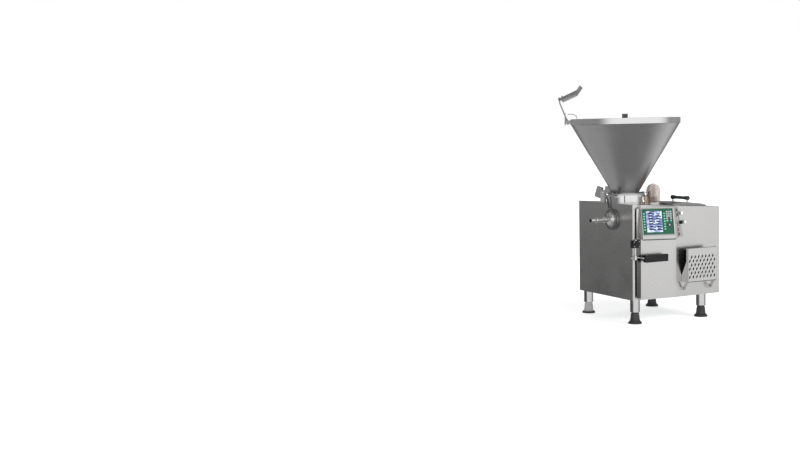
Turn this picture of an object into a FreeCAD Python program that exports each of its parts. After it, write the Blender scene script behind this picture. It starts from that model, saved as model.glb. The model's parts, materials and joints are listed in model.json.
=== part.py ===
"""Sausage filler: a floor-standing vacuum filler with a tilting cone hopper and twin feed screws.

Millimetres. +X runs right along the front, +Y from the front to the back, +Z up.
Sizes are worked out from the front left corner of the housing; the last step moves the
whole machine so that its origin lies on the floor under the middle of its outline.
"""
import FreeCAD, Part
import math
import os

V = FreeCAD.Vector
UP = V(0, 0, 1)
ALONG_X = V(1, 0, 0)
ALONG_Y = V(0, 1, 0)

# Housing
housing_width = 1005
housing_depth = 870
housing_bottom = 225
housing_top_left = 1109
housing_top_right = 1047
sheet = 3
corner_post = 22
cover_depth = 25
cover_left = 90
fold_x = 475
fold_out = 22
corner_round = 10
slack = 0.3
running = 0.05

# Legs and feet
leg_inset_x = 74
leg_inset_y = 71
leg_right_inset = 162
leg_rear_inset = 51
leg_radius = 44
leg_wall = 4
foot_height = 108
foot_bell_radius = 40
foot_flange_radius = 63
foot_flange_height = 20
foot_stem_radius = 12
foot_stem_length = 60
nut_plate = 16

# Frame
frame_tube = 50
frame_plate = 4
pedestal = 60

# Twin feed screws
axis_x = 165
axis_y = 335
screw_height = 960
screws_y = 306
gear_module = 3
gear_teeth = 30
pinion_teeth = 15
screw_radius = 59
screw_root = 29.5
screw_pitch = 70
screw_turns = 4.2
flight_tip = 11
flight_foot = 18
screw_left = 12
screw_bore_gap = 0.6
shaft_radius = 20
gear_width = 30
gear_backlash = 0.35

# Screw housing and gearbox
pump_half_width = 150
pump_half_height = 80
pump_right = 350
case_wall = 20
case_right = 460
case_half_width = 150
case_top_over = 75
case_bottom_under = 120
shaft_step = 6

# Motor and vacuum pump
motor_radius = 95
motor_length = 300
motor_shaft_radius = 12
motor_flange = 16
pump_x = 560
pump_y = 560
pump_length = 300
pump_width = 230
pump_height = 210

# Throat and collar
throat_bore = 112
throat_wall = 6
collar_radius = 160
collar_top = 1188
collar_split = 2
split_angle = 232

# Hopper
flange_radius = 166
flange_thick = 12
neck_radius = 125
cone_wall = 3
cone_top_radius = 499
cone_top = 1852
rim_radius = 507
rim_wall = 6
rim_top = 1900
lip = 10

# Hopper hinge
hinge_angle = 120
hinge_reach = 225
hinge_height = 1200
hinge_pin_radius = 9
hinge_lug = 30
hinge_cheek = 10
hinge_roof_gap = 3
hinge_eye = 20
box_width = 58
box_height = 104
box_tilt = 17
box_out = 45
box_up = 3
inner_block_height = 60

# Clamp handles
clamp_angles = (27, 207, 297)
clamp_reach = 180
clamp_stem_radius = 7
clamp_stem_drop = 24
clamp_bar_radius = 4.5
clamp_bar_length = 72
clamp_bar_angle = 297
clamp_slot = 20
ear_half_width = 17

# Feed curve and counter arm
ring_inner = 98
ring_height = 20
ring_gap = 0.5
blade_pitch = 520
blade_rise = 330
blade_depth = 34
blade_thick = 8
counter_angle = 53.7
counter_radius = 12
counter_drop = 420
holder_width = 56
holder_height = 48

# Mirror
mirror_angle = 143.7
bracket_out = 46
bracket_width = 38
bracket_height = 117
bracket_thick = 8
bracket_top = 1961
mirror_rod_radius = 6
rod_top_out = 99
rod_top = 2060
rod_neck = 34
mirror_knuckle = 10
mirror_knuckle_half = 12
mirror_saddle_wall = 5
mirror_length = 178
mirror_width = 190
mirror_thick = 6
mirror_heading = -47
mirror_rise = 24
mirror_lean = -25
mirror_front = 30
mirror_lip = 22

# Outlet
outlet_ring_radius = 98
outlet_ring_thick = 22
outlet_bore = 66
reducer_length = 80
reducer_radius = 62
reducer_nose = 24
pipe_radius = 19
pipe_bore = 16
nut_radius = 28
nut_length = 24
pipe_end = -250
pipe_ferrule = 23

# Outlet locking lever
lever_pivot_y = 384
lever_pivot_drop = 16
lever_gap = 8
lever_stud_radius = 5
lever_tip_gap = 9.9
lever_lean = 20
lever_width = 12
lever_thick = 8

# Control console
panel_left = 90
panel_front = -12
panel_top = 1065
panel_turn = 18
panel_tilt = 13.5
panel_width = 292
panel_height = 236
panel_margin = 12
bezel_thick = 5
membrane_thick = 3
screen_left = 22
screen_width = 150
screen_height = 196
screen_thick = 1.5
console_bottom = 792
console_top = 1082
console_block_left = 40
console_block_reach = 260
console_block_over = 20
flank_end_x = 562
button_heights = (1046, 1001, 914, 869, 826)
button_along = 55
button_spread = 0.095
button_radius = 11
button_collar_radius = 15
button_collar_length = 9
button_travel = 4
button_proud = 6
mushroom_along = 138
mushroom_heights = (1012, 927)
mushroom_necks = (20, 42)
mushroom_neck_radius = 15
mushroom_radii = (25, 20)
mushroom_head = 14
mushroom_travel = 5
plunger_reach = 26
plunger_radius = 6

# Knee lever
knee_x = 11
knee_y = -24
bearing_left = -27
bearing_right = 49
bearing_out = 45
bearing_bottom = 716
bearing_top = 784
knee_shaft_radius = 9
knee_rod_radius = 7
knee_rod_height = 625
knee_hub_radius = 16
knee_hub_height = 36
knee_rod_tail = 56
pad_left = 76
pad_length = 265
pad_height = 66
pad_thick = 28
pad_stand_off = 50
pad_drop = 13

# Vacuum trap dome
dome_x = 440
dome_y = 270
dome_radius = 66
dome_wall = 4
dome_straight = 112
dome_base_radius = 78
dome_base_height = 16
float_radius = 24
float_stem_radius = 4
float_height = 54
valve_x = 322
valve_y = 232
valve_pipe_radius = 12
valve_body_radius = 20
valve_height = 88

# Lid on the top
lid_left = 530
lid_right = 920
lid_front = 90
lid_back = 530
lid_edge = 12
lid_crown = 24
lid_slope = 60
lid_sheet = 3
well_wall = 3
well_depth = 54
well_inset = 30
lid_pin_radius = 5
knuckle_radius = 10
knuckle_leaf_near = 7
knuckle_leaf_far = 14
grip_x = 770
grip_front = 158
grip_length = 254
grip_end_radius = 21
grip_waist_radius = 15
grip_height = 45
post_radius = 7

# Vent hood
hood_left = 542
hood_right = 876
hood_bottom = 366
hood_top = 683
hood_out = 110
hood_sheet = 3
hood_cheek_top = 560
hood_lip = 22
vent_margin = 26
slot_rows = 6
slot_count = 8
slot_pitch = 41.3
slot_row_step = 37.3
slot_width = 15
slot_length = 32
slot_lean = 22
slot_top_row = 601
hood_pivot_height = 300
hood_pivot_out = 38
hood_pin_radius = 6
hood_arm_width = 14
hood_arm_lap = 20
hood_block = 34

# Reach of the whole outline
left_reach = -374
front_reach = -162


def roof(x):
    """Height of the housing's sloping top at x."""
    return housing_top_left + (housing_top_right - housing_top_left) * x / housing_width


def front(x):
    """Place of the folded front cover's face at x."""
    if x < fold_x:
        return -fold_out * (x - cover_left) / (fold_x - cover_left)
    return -fold_out * (housing_width - x) / (housing_width - fold_x)


def box(x0, x1, y0, y1, z0, z1):
    return Part.makeBox(x1 - x0, y1 - y0, z1 - z0, V(x0, y0, z0))


def rod(radius, start, end):
    return Part.makeCylinder(radius, (end - start).Length, start, end - start)


def tube(outer, inner, start, end):
    return rod(outer, start, end).cut(rod(inner, start, end))


def face_of(points):
    return Part.Face(Part.makePolygon(points + [points[0]]))


def prism_xz(points, y0, y1):
    """An outline in x and z, drawn from y0 to y1."""
    return face_of([V(x, y0, z) for x, z in points]).extrude(V(0, y1 - y0, 0))


def prism_yz(points, x0, x1):
    return face_of([V(x0, y, z) for y, z in points]).extrude(V(x1 - x0, 0, 0))


def prism_xy(points, z0, z1):
    return face_of([V(x, y, z0) for x, y in points]).extrude(V(0, 0, z1 - z0))


def turned(points, base, axis):
    """A body of revolution about axis through base, from points of (radius, distance along the axis)."""
    profile = face_of([V(r, 0, h) for r, h in points]).revolve(V(0, 0, 0), UP, 360)
    profile.Placement = FreeCAD.Placement(base, FreeCAD.Rotation(UP, axis))
    return profile


def around(angle, radius, z=0):
    """A point at an angle round the hopper's axis."""
    a = math.radians(angle)
    return V(axis_x + radius * math.cos(a), axis_y + radius * math.sin(a), z)


def heading(angle):
    a = math.radians(angle)
    return V(math.cos(a), math.sin(a), 0)


def standing(shape, angle):
    """Turn a shape drawn with +X outwards to stand at an angle round the hopper's axis."""
    turned_shape = shape.copy()
    turned_shape.rotate(V(0, 0, 0), UP, angle)
    turned_shape.translate(V(axis_x, axis_y, 0))
    return turned_shape


def side_of(point, normal, size=900):
    """A block that fills everything beyond the plane through point, on the normal's side."""
    block = Part.makeBox(size, size, size, V(-size / 2, -size / 2, 0))
    block.Placement = FreeCAD.Placement(point, FreeCAD.Rotation(UP, normal))
    return block


def round_path(points, bend):
    """Straight runs joined by tangent arcs."""
    edges = []
    start = points[0]
    for before, corner, after in zip(points, points[1:], points[2:]):
        into = (corner - before).normalize()
        out = (after - corner).normalize()
        half = into.getAngle(out) / 2
        back = bend * math.tan(half)
        first = corner - into * back
        last = corner + out * back
        middle = corner + (out - into).normalize() * (bend / math.cos(half) - bend)
        edges.append(Part.LineSegment(start, first).toShape())
        edges.append(Part.Arc(first, middle, last).toShape())
        start = last
    edges.append(Part.LineSegment(start, points[-1]).toShape())
    return Part.Wire(edges)


def bent_rod(points, radius, bend):
    path = round_path(points, bend)
    section = Part.Wire(Part.makeCircle(radius, points[0], points[1] - points[0]))
    return path.makePipeShell([section], True, False)


def roof_outline(inset, low, x0=0, x1=housing_width):
    """The housing's elevation: a level bottom and the sloping roof, inset by the sheet."""
    return [(x0, low), (x1, low), (x1, roof(x1) - inset), (x0, roof(x0) - inset)]


def housing_plan(inset):
    """The housing's plan, with the corner post standing forward at the front left."""
    s = inset
    return [
        (s, s),
        (corner_post - s, s),
        (corner_post - s, cover_depth + s),
        (housing_width - s, cover_depth + s),
        (housing_width - s, housing_depth - s),
        (s, housing_depth - s),
    ]


def upright_edges(shape, places):
    """The long upright edges that stand at the given (x, y) places."""
    found = []
    for edge in shape.Edges:
        box_of = edge.BoundBox
        if box_of.ZLength < 200:
            continue
        for x, y in places:
            if abs(box_of.XMin - x) < 0.5 and abs(box_of.YMin - y) < 0.5 and box_of.XLength < 0.5:
                found.append(edge)
    return found


def housing_block(inset, low):
    block = prism_xy(housing_plan(inset), low, housing_top_left + 50)
    return block.common(prism_xz(roof_outline(inset, low), -50, housing_depth + 50))


def housing_outer():
    block = housing_block(0, housing_bottom)
    corners = [(0, 0), (0, housing_depth), (housing_width, housing_depth)]
    return block.makeFillet(corner_round, upright_edges(block, corners))


def vent_opening(y0, y1):
    return box(
        hood_left + vent_margin, hood_right - vent_margin, y0, y1,
        hood_bottom + vent_margin, hood_top - vent_margin,
    )


def housing_shell():
    shell = housing_outer().cut(housing_block(sheet, housing_bottom - 1))
    throat = Part.makeCylinder(throat_bore + throat_wall, 200, V(axis_x, axis_y, housing_top_left - 100), UP)
    outlet = Part.makeCylinder(outlet_bore, 40, V(-20, screws_y, screw_height), ALONG_X)
    shell = shell.cut(throat).cut(outlet).cut(vent_opening(0, cover_depth + 20))
    well = box(
        lid_left + well_inset, lid_right - well_inset,
        lid_front + well_inset, lid_back - well_inset,
        roof(lid_right) - 40, housing_top_left + 20,
    )
    return shell.cut(well)


def cover_plan(inset):
    s = inset
    return [
        (cover_left + s, cover_depth),
        (cover_left + s, s),
        (fold_x, -fold_out + s),
        (housing_width - s, s),
        (housing_width - s, cover_depth),
    ]


def cover_block(inset, low):
    block = prism_xy(cover_plan(inset), low, housing_top_left + 50)
    return block.common(prism_xz(roof_outline(inset, low), -60, cover_depth))


def front_cover():
    pan = cover_block(0, housing_bottom).cut(cover_block(sheet, housing_bottom + sheet))
    return pan.cut(vent_opening(-60, cover_depth + 1))


def base_frame():
    low = housing_bottom
    inner = sheet
    floor = prism_xy(housing_plan(inner), low, low + frame_plate)
    z0 = low + frame_plate
    z1 = z0 + frame_tube
    x1 = housing_width - inner
    y0 = cover_depth + inner
    y1 = housing_depth - inner
    frame = box(inner, x1, y0, y1, z0, z1).cut(
        box(inner + frame_tube, x1 - frame_tube, y0 + frame_tube, y1 - frame_tube, z0, z1))
    beam = box(case_right - pedestal, case_right, y0 + frame_tube, y1 - frame_tube, z0, z1)
    frame = frame.fuse(beam)
    top = screw_height - case_bottom_under
    for y in (screws_y - case_half_width, screws_y + case_half_width - pedestal):
        post = box(case_right - pedestal, case_right, y, y + pedestal, z1, top)
        frame = frame.fuse(post)
    carrier = box(pump_x, pump_x + frame_tube, y0 + frame_tube, y1 - frame_tube, z0, z1)
    frame = frame.fuse(carrier)
    return floor.fuse(frame).removeSplitter()


def leg_places():
    right = housing_width - leg_right_inset
    rear = housing_depth - leg_rear_inset
    return {
        "front_left": (leg_inset_x, leg_inset_y),
        "front_right": (right, leg_inset_y),
        "rear_left": (leg_inset_x, rear),
        "rear_right": (right, rear),
    }


def leg(x, y):
    shell = tube(leg_radius, leg_radius - leg_wall, V(x, y, foot_height), V(x, y, housing_bottom))
    plate = tube(leg_radius - leg_wall, foot_stem_radius + running, V(x, y, foot_height),
                 V(x, y, foot_height + nut_plate))
    return shell.fuse(plate).removeSplitter()


def foot(x, y):
    r = foot_flange_radius
    f = foot_flange_height
    profile = [
        (0, 0), (r, 0), (r, f * 0.45), (r - 8, f), (foot_bell_radius + 5, f + 8),
        (foot_bell_radius + 1, foot_height * 0.6), (foot_bell_radius - 4, foot_height * 0.92),
        (foot_bell_radius - 8, foot_height),
        (foot_stem_radius, foot_height), (foot_stem_radius, foot_height + foot_stem_length),
        (0, foot_height + foot_stem_length),
    ]
    return turned(profile, V(x, y, 0), UP)


def screw_axes():
    half = gear_module * gear_teeth / 2
    return {"front": screws_y - half, "rear": screws_y + half}


def gear_profile(teeth, module, backlash):
    """An involute outline about the origin, with a tooth's middle on +X, as points of (x, y)."""
    pitch = teeth * module / 2
    base = pitch * math.cos(math.radians(20))
    tip = pitch + module
    root = pitch - 1.25 * module
    half_at_pitch = math.pi / (2 * teeth) - backlash / (2 * pitch)

    def involute(radius):
        angle = math.acos(min(1, base / radius))
        return math.tan(angle) - angle

    def half_at(radius):
        return half_at_pitch + involute(pitch) - involute(max(radius, base))

    flank = [(root, half_at(base)), (max(base, root + 0.1), half_at(base)), (pitch, half_at(pitch)),
             (tip, half_at(tip))]
    points = []
    for tooth in range(teeth):
        middle = 2 * math.pi * tooth / teeth
        for radius, half in flank:
            points.append((radius * math.cos(middle - half), radius * math.sin(middle - half)))
        for radius, half in reversed(flank):
            points.append((radius * math.cos(middle + half), radius * math.sin(middle + half)))
    return points


def spur_gear(teeth, x, y, z, first_tooth, bore):
    """A gear about an axis along X. first_tooth turns a tooth's middle from +Y towards +Z."""
    turn = math.radians(first_tooth)
    outline = []
    for a, b in gear_profile(teeth, gear_module, gear_backlash):
        outline.append((y + a * math.cos(turn) - b * math.sin(turn), z + a * math.sin(turn) + b * math.cos(turn)))
    blank = prism_yz(outline, x, x + gear_width)
    return blank.cut(rod(bore, V(x - 1, y, z), V(x + gear_width + 1, y, z)))


gear_left = pump_right + case_wall + shaft_step
shaft_end = case_right - case_wall / 2


def feed_screw_at_front():
    """A right-hand screw about the front axis, with its shaft through the gearbox."""
    length = screw_pitch * screw_turns
    helix = Part.makeLongHelix(screw_pitch, length, screw_root)
    section = Part.makePolygon([
        V(screw_root - 3, 0, -flight_foot / 2), V(screw_radius, 0, -flight_tip / 2),
        V(screw_radius, 0, flight_tip / 2), V(screw_root - 3, 0, flight_foot / 2),
        V(screw_root - 3, 0, -flight_foot / 2),
    ])
    flight = helix.makePipeShell([section], True, True)
    core = Part.makeCylinder(screw_root, length + flight_foot, V(0, 0, -flight_foot / 2), UP)
    shape = core.fuse(flight)
    shape.rotate(V(0, 0, 0), ALONG_Y, 90)
    y = screw_axes()["front"]
    shape.translate(V(screw_left + flight_foot / 2, y, screw_height))
    right = screw_left + flight_foot + length
    shaft = rod(shaft_radius, V(right - 1, y, screw_height), V(shaft_end, y, screw_height))
    return shape.fuse(shaft).removeSplitter()


def feed_screw(which):
    screw = feed_screw_at_front()
    if which == "rear":
        screw = screw.mirror(V(0, screws_y, 0), ALONG_Y)
        screw.rotate(V(0, screw_axes()["rear"], screw_height), ALONG_X, 180)
    return screw


def screw_housing():
    z = screw_height
    block = box(sheet, pump_right, screws_y - pump_half_width, screws_y + pump_half_width,
                z - pump_half_height, z + pump_half_height)
    bore_end = pump_right - case_wall
    for y in screw_axes().values():
        block = block.cut(rod(screw_radius + screw_bore_gap, V(0, y, z), V(bore_end, y, z)))
        block = block.cut(rod(shaft_radius + running, V(0, y, z), V(pump_right + 1, y, z)))
    inlet = Part.makeCylinder(throat_bore, pump_half_height + 1, V(axis_x, axis_y, z), UP)
    return block.cut(inlet)


def gearbox_case():
    z = screw_height
    low = z - case_bottom_under
    high = z + case_top_over
    block = box(pump_right, case_right, screws_y - case_half_width, screws_y + case_half_width, low, high)
    block = block.cut(box(pump_right + case_wall, case_right - case_wall,
                          screws_y - case_half_width + case_wall, screws_y + case_half_width - case_wall,
                          low + case_wall, high - case_wall))
    for y in screw_axes().values():
        block = block.cut(rod(shaft_radius + running, V(pump_right - 1, y, z), V(shaft_end, y, z)))
    motor_bore = rod(motor_shaft_radius + running, V(case_right - case_wall - 1, pinion_y(), pinion_z()),
                     V(case_right + 1, pinion_y(), pinion_z()))
    return block.cut(motor_bore)


def pinion_y():
    return screw_axes()["front"]


def pinion_z():
    return screw_height - gear_module * (gear_teeth + pinion_teeth) / 2


def main_motor():
    start = V(case_right, pinion_y(), pinion_z())
    r = motor_radius
    flange = [(0, 0), (r + 12, 0), (r + 12, motor_flange), (r, motor_flange + 8), (r, motor_length - 70),
              (r - 4, motor_length - 66), (r - 4, motor_length - 60), (r + 3, motor_length - 56),
              (r + 3, motor_length - 12), (r - 20, motor_length), (0, motor_length)]
    body = turned(flange, start, ALONG_X)
    bore = rod(motor_shaft_radius + running, start - V(1, 0, 0), start + V(motor_length * 0.4, 0, 0))
    terminal = box(start.x + 70, start.x + 170, start.y - 50, start.y + 50, start.z - motor_radius - 38,
                   start.z - motor_radius + 12)
    return body.fuse(terminal).cut(bore).removeSplitter()


def motor_pinion():
    tooth_up = 90
    gear = spur_gear(pinion_teeth, gear_left, pinion_y(), pinion_z(), tooth_up, motor_shaft_radius - 1)
    start = V(gear_left, pinion_y(), pinion_z())
    shaft = rod(motor_shaft_radius, start, V(case_right + motor_length * 0.4 - 1, start.y, start.z))
    return gear.fuse(shaft).removeSplitter()


def timing_gear(which):
    """The front gear has a tooth on -Z for the pinion and one on +Y for the rear gear's gap."""
    y = screw_axes()[which]
    first = 0 if which == "front" else 180 / gear_teeth
    return spur_gear(gear_teeth, gear_left, y, screw_height, first, shaft_radius)


def vacuum_pump():
    z = housing_bottom + frame_plate + frame_tube
    foot_rail = box(pump_x, pump_x + pump_length, pump_y, pump_y + pump_width, z, z + 14)
    block = box(pump_x + 12, pump_x + pump_length * 0.5, pump_y + 10, pump_y + pump_width - 10, z + 14,
                z + pump_height)
    barrel = rod(pump_height * 0.36, V(pump_x + pump_length * 0.5, pump_y + pump_width / 2, z + pump_height / 2),
                 V(pump_x + pump_length, pump_y + pump_width / 2, z + pump_height / 2))
    saddle = box(pump_x + pump_length * 0.62, pump_x + pump_length * 0.85, pump_y + pump_width / 2 - 50,
                 pump_y + pump_width / 2 + 50, z + 14, z + pump_height / 2)
    port = rod(18, V(pump_x + 60, pump_y + pump_width / 2, z + pump_height),
               V(pump_x + 60, pump_y + pump_width / 2, z + pump_height + 40))
    return foot_rail.fuse([block, barrel, saddle, port]).removeSplitter()


def feed_throat():
    start = V(axis_x, axis_y, screw_height + pump_half_height)
    top = V(axis_x, axis_y, collar_top)
    return tube(throat_bore + throat_wall, throat_bore, start, top)


def throat_collar():
    """Two half rings round the throat, standing on the sloping roof, with ears for the clamps."""
    inner = throat_bore + throat_wall
    base = V(axis_x, axis_y, housing_top_right)
    ring = tube(collar_radius, inner, base, V(axis_x, axis_y, collar_top))
    for angle in clamp_angles:
        ear = box(collar_radius - 15, clamp_reach + 12, -ear_half_width, ear_half_width, collar_top - 22, collar_top)
        slot = box(clamp_reach - clamp_slot / 2, clamp_reach + 40, -clamp_slot / 2, clamp_slot / 2,
                   collar_top - 60, collar_top + 1)
        ring = ring.fuse(standing(ear.cut(slot), angle))
    ring = ring.fuse(lever_stud())
    ring = ring.cut(housing_outer())
    gap = standing(box(-collar_radius - 60, collar_radius + 60, -collar_split / 2, collar_split / 2,
                       housing_top_right - 10, collar_top + 10), split_angle)
    return ring.cut(gap).removeSplitter()


def hopper():
    """The cone with its neck flange, clamp ears and rolled rim band, made as one welded piece."""
    z0 = collar_top
    z1 = z0 + flange_thick
    profile = [
        (ring_outer() + ring_gap, z0 + 4), (ring_outer() + ring_gap, z1 + 2), (neck_radius - cone_wall, z1 + 12),
        (cone_top_radius - cone_wall, cone_top), (rim_radius - rim_wall, cone_top), (rim_radius - rim_wall, rim_top - lip),
        (rim_radius - rim_wall - lip / 2, rim_top), (rim_radius, rim_top), (rim_radius, cone_top - 4),
        (cone_top_radius + 1, cone_top - 6), (neck_radius, z1 + 4), (neck_radius, z1), (flange_radius, z1),
        (flange_radius, z0), (ring_inner, z0), (ring_inner, z0 + 4),
    ]
    shape = turned(profile, V(axis_x, axis_y, 0), UP)
    for angle in clamp_angles:
        ear = box(flange_radius - 12, clamp_reach + 14, -ear_half_width, ear_half_width, z0, z1)
        ear = ear.cut(rod(clamp_stem_radius + running, V(clamp_reach, 0, z0 - 1), V(clamp_reach, 0, z1 + 1)))
        shape = shape.fuse(standing(ear, angle))
    return shape.removeSplitter()


def ring_outer():
    return throat_bore - ring_gap


def hinge_arm():
    """The arm on the hopper's flange: inner block, eye on the pin and the tilted spring case outboard."""
    z1 = collar_top + flange_thick
    half = hinge_lug / 2
    block = box(neck_radius + 20, flange_radius + 34, -half, half, z1, z1 + inner_block_height)
    cone_clear = Part.makeCone(
        neck_radius + 1, cone_top_radius + 1, cone_top - z1, V(0, 0, z1), UP)
    block = block.cut(cone_clear)
    neck = prism_xz([(flange_radius + 2, hinge_height - 8), (hinge_reach, hinge_height - hinge_eye),
                     (hinge_reach, hinge_height + hinge_eye), (flange_radius + 2, z1 + inner_block_height - 16)],
                    -half, half)
    eye = rod(hinge_eye, V(hinge_reach, -half, hinge_height), V(hinge_reach, half, hinge_height))
    case = box(-box_width / 2, box_width / 2, -half, half, -box_height / 2, box_height / 2)
    case.rotate(V(0, 0, 0), ALONG_Y, -box_tilt)
    case.translate(V(hinge_reach + box_out, 0, hinge_height + box_up))
    sweep = hinge_height - housing_top_left - hinge_roof_gap
    case = case.common(rod(sweep, V(hinge_reach, -half, hinge_height), V(hinge_reach, half, hinge_height)))
    arm = block.fuse([neck, eye, case])
    pin_hole = rod(hinge_pin_radius + running, V(hinge_reach, -60, hinge_height), V(hinge_reach, 60, hinge_height))
    arm = arm.cut(pin_hole)
    return standing(arm, hinge_angle).removeSplitter()


def hinge_post():
    """A forked post on the roof that holds the hopper's hinge pin."""
    half = hinge_lug / 2 + slack
    outer = half + hinge_cheek
    low = housing_top_right
    cheek = box(hinge_reach - hinge_eye, hinge_reach + hinge_eye, half, outer, low, hinge_height)
    cheek = cheek.fuse(rod(hinge_eye, V(hinge_reach, half, hinge_height), V(hinge_reach, outer, hinge_height)))
    other = cheek.mirror(V(0, 0, 0), ALONG_Y)
    pin = rod(hinge_pin_radius, V(hinge_reach, -outer - 5, hinge_height), V(hinge_reach, outer + 5, hinge_height))
    post = cheek.fuse([other, pin])
    return standing(post, hinge_angle).cut(housing_outer()).removeSplitter()


def clamp_handle(angle):
    z1 = collar_top + flange_thick
    head = z1 + clamp_bar_radius + 5
    stem = rod(clamp_stem_radius, V(clamp_reach, 0, collar_top - clamp_stem_drop + flange_thick), V(clamp_reach, 0, z1))
    boss = rod(clamp_stem_radius + 3, V(clamp_reach, 0, z1), V(clamp_reach, 0, head + clamp_bar_radius + 3))
    turn = math.radians(clamp_bar_angle - angle)
    reach = V(math.cos(turn), math.sin(turn), 0) * (clamp_bar_length / 2)
    middle = V(clamp_reach, 0, head)
    bar = rod(clamp_bar_radius, middle - reach, middle + reach)
    return standing(stem.fuse([boss, bar]), angle).removeSplitter()


def feed_curve():
    """The turning curve that scrapes the cone's wall and pushes the meat down into the throat."""
    z0 = collar_top + 4
    ring = tube(ring_outer(), ring_inner, V(0, 0, z0), V(0, 0, z0 + ring_height))
    slope = math.degrees(math.atan2(cone_top_radius - neck_radius, cone_top - collar_top - flange_thick))
    start = z0 + 8
    first_radius = ring_inner + 4
    helix = Part.makeHelix(blade_pitch, blade_rise, first_radius, slope)
    section = Part.makePolygon([
        V(first_radius - blade_depth / 2, 0, 0), V(first_radius + 4, 0, 0),
        V(first_radius + 4, 0, blade_thick), V(first_radius - blade_depth / 2, 0, blade_thick),
        V(first_radius - blade_depth / 2, 0, 0),
    ])
    blade = helix.makePipeShell([section], True, True)
    blade.translate(V(0, 0, start))
    shape = ring.fuse(blade)
    return standing(shape, 0).removeSplitter()


def counter_arm():
    """The fixed arm that stops the meat from turning with the feed curve, in its holder on the rim."""
    half = holder_width / 2
    holder = box(rim_radius - 44, rim_radius + 12, -half, half, rim_top, rim_top + holder_height)
    hook = box(rim_radius, rim_radius + 12, -half, half, rim_top - 34, rim_top)
    level = rim_top + holder_height / 2
    route = [V(rim_radius - 30, 0, level), V(170, 0, level), V(60, 0, level - 150), V(50, 0, level - counter_drop)]
    arm = bent_rod(route, counter_radius, 60)
    return standing(holder.fuse([hook, arm]), counter_angle).removeSplitter()


def mirror_bracket():
    """The plate and hook that hang on the rim and hold the mirror's rod in a socket."""
    half = bracket_width / 2
    out = rim_radius + bracket_out
    plate = box(out, out + bracket_thick, -half, half, bracket_top - bracket_height, bracket_top)
    stand_off = box(rim_radius, out, -12, 12, rim_top - 40, rim_top - 8)
    socket = rod(mirror_rod_radius + 6, rod_foot() - rod_line() * 34, rod_foot() + rod_line() * 16)
    socket = socket.cut(rod(mirror_rod_radius + running, rod_foot() - rod_line() * 26, rod_foot() + rod_line() * 30))
    shape = standing(plate.fuse(stand_off), mirror_angle)
    shape = shape.fuse(socket)
    return shape.cut(rod(mirror_rod_radius + running, rod_foot() - rod_line() * 26,
                         rod_foot() + rod_line() * 110)).removeSplitter()


def rod_foot():
    return around(mirror_angle, rim_radius + bracket_out - 16, rim_top - 14)


def rod_line():
    return (rod_bend() - rod_foot()).normalize()


def rod_bend():
    return around(mirror_angle, rim_radius + rod_top_out, rod_top)


def mirror_rod():
    foot_point = rod_foot() - rod_line() * 25
    route = [foot_point, rod_bend(), rod_bend() + V(0, 0, rod_neck)]
    shape = bent_rod(route, mirror_rod_radius, 16)
    across = mirror_frame()[1] * mirror_knuckle_half
    centre = rod_bend() + V(0, 0, rod_neck)
    knuckle = rod(mirror_knuckle, centre - across, centre + across)
    return shape.fuse(knuckle).removeSplitter()


def mirror_frame():
    """The mirror's own directions: along its length, across it, and out of its glass."""
    along = heading(mirror_heading) * math.cos(math.radians(mirror_rise)) + UP * math.sin(math.radians(mirror_rise))
    level = heading(mirror_heading + 90)
    out = along.cross(level)
    lean = math.radians(mirror_lean)
    across = level * math.cos(lean) - out * math.sin(lean)
    return along, across, along.cross(across)


def mirror_plate():
    along, across, out = mirror_frame()
    place = FreeCAD.Matrix(
        along.x, across.x, out.x, 0, along.y, across.y, out.y, 0, along.z, across.z, out.z, 0, 0, 0, 0, 1)
    radius = mirror_knuckle
    half = mirror_knuckle_half
    low = radius + 1
    high = low + mirror_thick
    y0 = -mirror_front
    y1 = mirror_width - mirror_front
    left = -radius
    right = left + mirror_length
    plate = box(left, right, y0, y1, low, high)
    left_lip = prism_xz([(left, low), (left - 8, high + mirror_lip), (left - 4, high + mirror_lip), (left + 4, high)], y0, y1)
    right_lip = prism_xz([(right, low), (right + 8, high + mirror_lip), (right + 4, high + mirror_lip),
                          (right - 4, high)], y0, y1)
    saddle = rod(radius + mirror_saddle_wall, V(0, -half, 0), V(0, half, 0))
    saddle = saddle.common(box(-radius * 2, radius * 2, -half, half, -1, high - 1))
    plate = plate.fuse([left_lip, right_lip, saddle])
    shape = plate.cut(rod(radius + running, V(0, -half - 1, 0), V(0, half + 1, 0)))
    shape.Placement = FreeCAD.Placement(place).multiply(shape.Placement)
    shape.translate(rod_bend() + V(0, 0, rod_neck))
    return shape.removeSplitter()


def outlet_flange():
    start = V(0, screws_y, screw_height)
    profile = [(outlet_bore, 0), (outlet_ring_radius, 0), (outlet_ring_radius, outlet_ring_thick - 6),
               (outlet_ring_radius - 6, outlet_ring_thick), (outlet_bore, outlet_ring_thick)]
    return turned(profile, start, V(-1, 0, 0))


def outlet_reducer():
    start = V(-outlet_ring_thick, screws_y, screw_height)
    n = reducer_length
    profile = [
        (outlet_bore - 6, -outlet_ring_thick + sheet), (outlet_bore, -outlet_ring_thick + sheet), (outlet_bore, 0),
        (reducer_radius + 8, 0), (reducer_radius + 8, 8), (reducer_radius, 8), (reducer_radius * 0.9, n * 0.22),
        (reducer_radius * 0.62, n * 0.38), (reducer_nose, n * 0.46), (reducer_nose, n),
        (pipe_bore + 1, n), (pipe_bore + 1, n * 0.46), (reducer_radius * 0.8, n * 0.18), (outlet_bore - 6, 2),
    ]
    return turned(profile, start, V(-1, 0, 0))


def union_start():
    return V(-outlet_ring_thick - reducer_length, screws_y, screw_height)


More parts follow.
